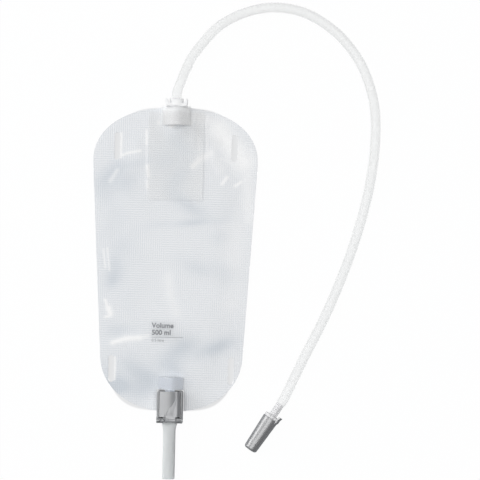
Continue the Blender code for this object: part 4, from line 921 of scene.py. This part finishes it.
def thick_sheet(name, plan, faces, heights, thickness, material):
    """A closed sheet over a plan of triangles, its underside at the heights."""
    count = len(plan)
    under = np.column_stack([plan, heights])
    over = under + (0.0, 0.0, thickness)
    pairs = np.sort(np.vstack([faces[:, [0, 1]], faces[:, [1, 2]], faces[:, [2, 0]]]), axis=1)
    directed = np.vstack([faces[:, [0, 1]], faces[:, [1, 2]], faces[:, [2, 0]]])
    _, first, times = np.unique(pairs, axis=0, return_index=True, return_counts=True)
    rim = directed[first[times == 1]]
    sides = [(int(a), int(b), int(b) + count, int(a) + count) for a, b in rim]
    all_faces = [tuple(face) for face in (faces + count).tolist()]
    all_faces += [tuple(face[::-1]) for face in faces.tolist()]
    used = np.zeros(count, bool)
    used[faces.ravel()] = True
    keep = np.concatenate([used, used])
    renumber = np.cumsum(keep) - 1
    points = np.vstack([under, over])[keep]
    all_faces = [tuple(int(renumber[k]) for k in face) for face in all_faces + sides]
    made = mesh_piece(name, points, all_faces, material)
    # The contact share and the painted highlights go on each sheet as point attributes
    for label, share in (("contact", contact_share), ("painted_highlight", painted_highlight)):
        kept = made.data.attributes.new(label, "FLOAT", "POINT")
        kept.data.foreach_set("value", share(points[:, 0], points[:, 1]).astype(np.float32))
    choose(made)
    bpy.ops.object.shade_smooth_by_angle(angle=SHEET_EDGE_ANGLE)
    deselect()
    return made


plan, plan_faces, plan_area = plan_of_panel(SHEET_SPACING)
film_heights = FILM_RIM_Z + front_film_lift(plan[:, 0], plan[:, 1])
front_film = thick_sheet(
    "matt_front_film", plan, plan_faces, film_heights, FILM_THICKNESS, FRONT_FILM
)
dress(front_film, "bag", ["front_film"])

flat = np.full(len(plan), BACK_FILM_Z)
back_film = thick_sheet("backed_film", plan, plan_faces, flat, FILM_THICKNESS, BACK_FILM)
dress(back_film, "bag", ["back_film"])

coarse_plan, coarse_faces, _ = plan_of_panel(BACKING_SPACING)
flat = np.zeros(len(coarse_plan))
backing = thick_sheet(
    "nonwoven_backing", coarse_plan, coarse_faces, flat, BACKING_THICKNESS, BACKING_CLOTH
)
dress(backing, "bag", ["backing_sheet"])


# Valve flaps

def make_flap(name, level, heights, material, node):
    """A thin flap film over the inlet port's inner end."""
    columns, rows = FLAP_COLUMNS, FLAP_ROWS
    xs = np.linspace(-FLAP_WIDTH / 2, FLAP_WIDTH / 2, columns)
    ys = np.linspace(FLAP_BOTTOM_Y, FLAP_TOP_Y, rows)
    x, y = (part.ravel() for part in np.meshgrid(xs, ys))
    corners = np.arange((columns - 1) * (rows - 1))
    corners = corners + corners // (columns - 1)
    lower = np.column_stack([corners, corners + 1, corners + columns + 1])
    upper = np.column_stack([corners, corners + columns + 1, corners + columns])
    faces = np.vstack([lower, upper])
    lifted = level + heights(x, y)
    flap = thick_sheet(name, np.column_stack([x, y]), faces, lifted, FLAP_THICKNESS, material)
    return dress(flap, "bag", [node])


def lying_flat(x, y):
    """No lift anywhere."""
    return np.zeros_like(x)


def over_the_port(x, y):
    """Lifted over the inlet boat."""
    return inlet_tent(x, y, FRONT_FLAP_Z, 1)


make_flap("valve_flap_behind", BACK_FLAP_Z, lying_flat, FLAP_FILM, "valve_back_flap")
make_flap(
    "valve_flap_in_front", FRONT_FLAP_Z, over_the_port, CLEAR_FLAP_FILM, "valve_front_flap"
)


# Rigid pieces, each with its edges softened

MERGE_DISTANCE = 0.005 * MM
FLAT_ANGLE = math.radians(0.2)
SOFT_EDGE_ANGLE = math.radians(35)
SOFT_EDGE = 0.1 * MM


def cut_groove(made, start, end, foot, top, half_width):
    """Cuts a V groove from above, given as in the tables of grooves."""
    start, end = Vector(in_metres(start)), Vector(in_metres(end))
    foot_z, top_z, half_width = in_metres((foot, top, half_width))
    run = end - start
    middle = (start + end) / 2
    deselect()
    bpy.ops.mesh.primitive_cylinder_add(vertices=3, radius=1.0, depth=1.0)
    cutter = bpy.context.active_object
    # A three-sided prism along x, one edge down at z = -1 and a flat face up at z = 0.5
    cutter.rotation_euler = (-math.pi / 2, 0.0, math.pi / 2)
    bpy.ops.object.transform_apply(location=False, rotation=True, scale=False)
    deep = (top_z - foot_z) / 1.5
    cutter.scale = (run.length, half_width / math.sin(math.radians(60)), deep)
    cutter.rotation_euler = (0.0, 0.0, math.atan2(run.y, run.x))
    cutter.location = (middle.x, middle.y, foot_z + deep)
    bpy.ops.object.transform_apply(location=True, rotation=True, scale=True)
    choose(made)
    groove = made.modifiers.new("groove", "BOOLEAN")
    groove.operation = "DIFFERENCE"
    groove.object = cutter
    groove.solver = "EXACT"
    bpy.ops.object.modifier_apply(modifier=groove.name)
    bpy.data.objects.remove(cutter)


def softened_copy(name, node, material, body, width, grooves=()):
    """A copy of a CAD solid, cleaned, with its edges rounded and its grooves cut."""
    made = bpy.data.objects.new(name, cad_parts[node].data.copy())
    bpy.context.scene.collection.objects.link(made)
    made.data.materials.clear()
    made.data.materials.append(material)
    choose(made)
    bpy.ops.object.mode_set(mode="EDIT")
    bpy.ops.mesh.select_all(action="SELECT")
    bpy.ops.mesh.remove_doubles(threshold=MERGE_DISTANCE)
    bpy.ops.mesh.dissolve_limited(angle_limit=FLAT_ANGLE)
    bpy.ops.object.mode_set(mode="OBJECT")
    if width:
        rounding = made.modifiers.new("rounding", "BEVEL")
        rounding.width = width
        rounding.segments = 2
        rounding.limit_method = "ANGLE"
        rounding.angle_limit = SOFT_EDGE_ANGLE
        rounding.use_clamp_overlap = True
        bpy.ops.object.modifier_apply(modifier=rounding.name)
    for groove in grooves:
        cut_groove(made, *groove)
    bpy.ops.object.shade_smooth_by_angle(angle=SOFT_EDGE_ANGLE)
    evened = made.modifiers.new("evened_shading", "WEIGHTED_NORMAL")
    evened.keep_sharp = True
    evened.weight = 100
    bpy.ops.object.modifier_apply(modifier=evened.name)
    deselect()
    return dress(made, body, [node])


softened_copy(
    "inlet_boat_and_flange", "inlet_port", PORT_PLASTIC, "bag", SOFT_EDGE
)
softened_copy(
    "outlet_boat_and_spigot", "outlet_port", OUTLET_PLASTIC, "bag", SOFT_EDGE
)
softened_copy(
    "clamp_channel", "clamp_body", CLAMP_ABS, "bag", SOFT_EDGE, KNUCKLE_GROOVES
)
softened_copy(
    "clamp_snap_lever", "clamp_lever", LEVER_ABS, "lever", 0.12 * MM, LEVER_GROOVES
)
connector = softened_copy(
    "tapered_connector", "connector", CONNECTOR_PLASTIC, "bag", 0.08 * MM
)
cap = softened_copy("tapered_cap", "connector_cap", CAP_PLASTIC, "cap", SOFT_EDGE)


# Outlet tube

SPIGOT_HALF_HEIGHT = 3.6 * MM
PINCH_HALF_HEIGHT = 1.6 * MM
PINCH_HALF_LENGTH = 1.4 * MM
MOUTH_HALF_HEIGHT = 2.8 * MM  # where the tube leaves the clamp
OUTLET_SIDES = 48
OUTLET_STEPS = 10
OUTLET_EDGE_ANGLE = math.radians(40)


def stadium(half_width, half_height, count):
    """A ring with straight top and bottom and round sides."""
    angles = (np.arange(count) + 0.5) * math.tau / count
    shift = np.copysign(half_width - half_height, np.cos(angles))
    return np.column_stack([shift + half_height * np.cos(angles), half_height * np.sin(angles)])


def flattened_half_width(half_height):
    """Half the width of the soft tube when it is pressed to a half height."""
    wall_line = (OUTLET_DIAMETER - OUTLET_WALL) / 2
    pressed = half_height - OUTLET_WALL / 2
    return math.pi / 2 * (wall_line - pressed) + pressed + OUTLET_WALL / 2


def make_outlet_tube():
    """Soft tube: over the spigot, pinched flat in the clamp and round again at its tip."""
    stations = (
        (OUTLET_TOP_Y, SPIGOT_HALF_HEIGHT, OUTLET_CLAMP_AXIS_Z),
        (OUTLET_SPIGOT_END_Y, SPIGOT_HALF_HEIGHT, OUTLET_CLAMP_AXIS_Z),
        (PINCH_Y + PINCH_HALF_LENGTH, PINCH_HALF_HEIGHT, OUTLET_CLAMP_AXIS_Z),
        (PINCH_Y - PINCH_HALF_LENGTH, PINCH_HALF_HEIGHT, OUTLET_CLAMP_AXIS_Z),
        (CLAMP_BOTTOM_Y + 1.0 * MM, MOUTH_HALF_HEIGHT, OUTLET_CLAMP_AXIS_Z),
        (CLAMP_BOTTOM_Y - 6.5 * MM, OUTLET_DIAMETER / 2, OUTLET_TIP_AXIS_Z + 0.2 * MM),
        (OUTLET_TIP_Y + 25.0 * MM, OUTLET_DIAMETER / 2, OUTLET_TIP_AXIS_Z),
        (OUTLET_TIP_Y, OUTLET_DIAMETER / 2, OUTLET_TIP_AXIS_Z),
    )
    sides, steps = OUTLET_SIDES, OUTLET_STEPS
    outside, inside = [], []
    for (y0, half0, z0), (y1, half1, z1) in zip(stations, stations[1:]):
        last = y1 == stations[-1][0]
        for k in range(steps + last):
            share = k / steps
            eased = float(smooth_step(np.array(share)))
            y = y0 + share * (y1 - y0)
            half = half0 + eased * (half1 - half0)
            z = z0 + eased * (z1 - z0)
            half_width = flattened_half_width(half)
            for rows, ring in (
                (outside, stadium(half_width, half, sides)),
                (inside, stadium(half_width - OUTLET_WALL, half - OUTLET_WALL, sides)),
            ):
                rows.append(np.column_stack([ring[:, 0], np.full(sides, y), z + ring[:, 1]]))
    rings = outside + inside[::-1]
    faces = ring_faces(len(rings), sides)
    tube = mesh_piece("silicone_outlet_tube", np.vstack(rings), faces, TUBE_SILICONE)
    turn_outward(tube)
    choose(tube)
    bpy.ops.object.shade_smooth_by_angle(angle=OUTLET_EDGE_ANGLE)
    deselect()
    return dress(tube, "bag", ["outlet_tube"])


make_outlet_tube()


# Print on the front film

def lay_on_film(made, clearance):
    """Lowers a flat piece onto the front film, each point by the film's own height there."""
    mesh = made.data
    points = np.zeros(len(mesh.vertices) * 3)
    mesh.vertices.foreach_get("co", points)
    points = points.reshape(-1, 3)
    top = FILM_RIM_Z + front_film_lift(points[:, 0], points[:, 1]) + FILM_THICKNESS
    points[:, 2] += top + clearance
    mesh.vertices.foreach_set("co", points.ravel())
    mesh.update()


def make_print():
    """The bag's volume in plain grey words and figures round a thin rule."""
    # Words, size, foot line and how much heavier than the plain face
    lines = (
        ("Volume", 5.6 * MM, -55.2 * MM, 0.17 * MM),
        ("500 ml", 5.6 * MM, -60.9 * MM, 0.17 * MM),
        ("0.5 litre", 3.2 * MM, -66.4 * MM, 0.0),
    )
    deselect()
    bpy.ops.mesh.primitive_plane_add(size=1.0, location=(-3.2 * MM, -62.8 * MM, 0.0))
    rule = bpy.context.active_object
    rule.name = "printed_volume"
    rule.scale = (25.4 * MM, 0.3 * MM, 1.0)
    bpy.ops.object.transform_apply(location=True, rotation=True, scale=True)
    bpy.ops.object.mode_set(mode="EDIT")
    bpy.ops.mesh.subdivide(number_cuts=6)
    bpy.ops.object.mode_set(mode="OBJECT")
    pieces = [rule]
    for words, size, foot, heavier in lines:
        deselect()
        bpy.ops.object.text_add(location=(-15.9 * MM, foot, 0.0))
        text = bpy.context.active_object
        text.data.body = words
        text.data.size = size
        text.data.offset = heavier
        text.data.resolution_u = 3
        bpy.ops.object.convert(target="MESH")
        bpy.ops.object.transform_apply(location=True, rotation=True, scale=True)
        pieces.append(bpy.context.active_object)
    choose(rule)
    for made in pieces:
        made.select_set(True)
    bpy.ops.object.join()
    rule.data.materials.clear()
    rule.data.materials.append(PRINT_INK)
    lay_on_film(rule, 0.05 * MM)
    deselect()
    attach(rule, "bag")


make_print()


# Floor and light

FLOOR_SIZE = 6.0
FLOOR_DROP = 0.3 * MM
FLOOR_GLOW = 1.04
SEEN_WHITE_AT_SLOTS = 0.6
SEEN_WHITE_OUTSIDE = 0.93
SKY_LEVEL = 0.1


def make_floor():
    """A pale table that the camera sees white and that keeps a faint shadow."""
    deselect()
    bpy.ops.mesh.primitive_plane_add(size=FLOOR_SIZE, location=(0.0, 0.0, -FLOOR_DROP))
    floor = bpy.context.active_object
    floor.name = "table"
    material, tree, shader = new_material("pale_laminate", "#A9ACB0", 0.6)
    # The camera sees the floor white, with more of its own shade where the panel's slots show it
    place = add_node(tree, "ShaderNodeTexCoord").outputs["Object"]
    shrunk = add_node(
        tree,
        "ShaderNodeVectorMath",
        {"operation": "DIVIDE"},
        {0: place, 1: (PANEL_BOTTOM_WIDTH / 2, PANEL_LENGTH / 2, 1.0)},
    ).outputs["Vector"]
    for _ in range(2):
        shrunk = add_node(
            tree, "ShaderNodeVectorMath", {"operation": "MULTIPLY"}, {0: shrunk, 1: shrunk}
        ).outputs["Vector"]
    out = add_node(
        tree, "ShaderNodeVectorMath", {"operation": "DOT_PRODUCT"}, {0: shrunk, 1: (1.0, 1.0, 0.0)}
    )
    share = add_node(
        tree,
        "ShaderNodeMapRange",
        {},
        {
            "Value": out.outputs["Value"],
            "From Min": 0.96,
            "From Max": 1.0,
            "To Min": SEEN_WHITE_AT_SLOTS,
            "To Max": SEEN_WHITE_OUTSIDE,
        },
    )
    path = add_node(tree, "ShaderNodeLightPath")
    share = add_node(
        tree,
        "ShaderNodeMath",
        {"operation": "MULTIPLY"},
        {0: path.outputs["Is Camera Ray"], 1: share.outputs["Result"]},
    )
    glow = add_node(
        tree, "ShaderNodeEmission", {}, {"Color": srgb("#FFFFFF"), "Strength": FLOOR_GLOW}
    )
    both = add_node(
        tree,
        "ShaderNodeMixShader",
        {},
        {0: share.outputs["Value"], 1: shader.outputs["BSDF"], 2: glow.outputs["Emission"]},
    )
    tree.links.new(both.outputs["Shader"], tree.nodes["Material Output"].inputs["Surface"])
    floor.data.materials.append(material)


def make_world():
    """Even white light from all sides; what the camera sees of it is white."""
    world = bpy.data.worlds.new("studio")
    bpy.context.scene.world = world
    world.use_nodes = True
    tree = world.node_tree
    tree.nodes.clear()
    path = add_node(tree, "ShaderNodeLightPath")
    plain_white = srgb("#FFFFFF")
    soft = add_node(
        tree, "ShaderNodeBackground", {}, {"Color": plain_white, "Strength": SKY_LEVEL}
    )
    white = add_node(tree, "ShaderNodeBackground", {}, {"Color": plain_white, "Strength": 1.0})
    both = add_node(
        tree,
        "ShaderNodeMixShader",
        {},
        {
            0: path.outputs["Is Camera Ray"],
            1: soft.outputs["Background"],
            2: white.outputs["Background"],
        },
    )
    add_node(tree, "ShaderNodeOutputWorld", {}, {"Surface": both.outputs["Shader"]})


def add_lamp(name, place, target, size, level):
    """A square lamp that lights a surface facing it at a level, where 1 shows white as white."""
    data = bpy.data.lights.new(name, "AREA")
    data.shape = "SQUARE"
    data.size = size
    distance = (Vector(place) - Vector(target)).length
    data.energy = math.pi**2 * level * distance**2
    lamp = bpy.data.objects.new(name, data)
    bpy.context.scene.collection.objects.link(lamp)
    aim(lamp, place, target)


make_floor()
make_world()
add_lamp("overhead_panel", (0.05, 0.0, 2.2), (0.05, 0.0, 0.0), 2.0, 0.7)
add_lamp("window_side", (-2.3, 1.5, 2.5), (0.05, 0.0, 0.0), 3.2, 0.25)
add_lamp("reflector_card", (-2.6, 0.8, 0.8), (0.05, 0.0, 0.05), 2.0, 0.5)
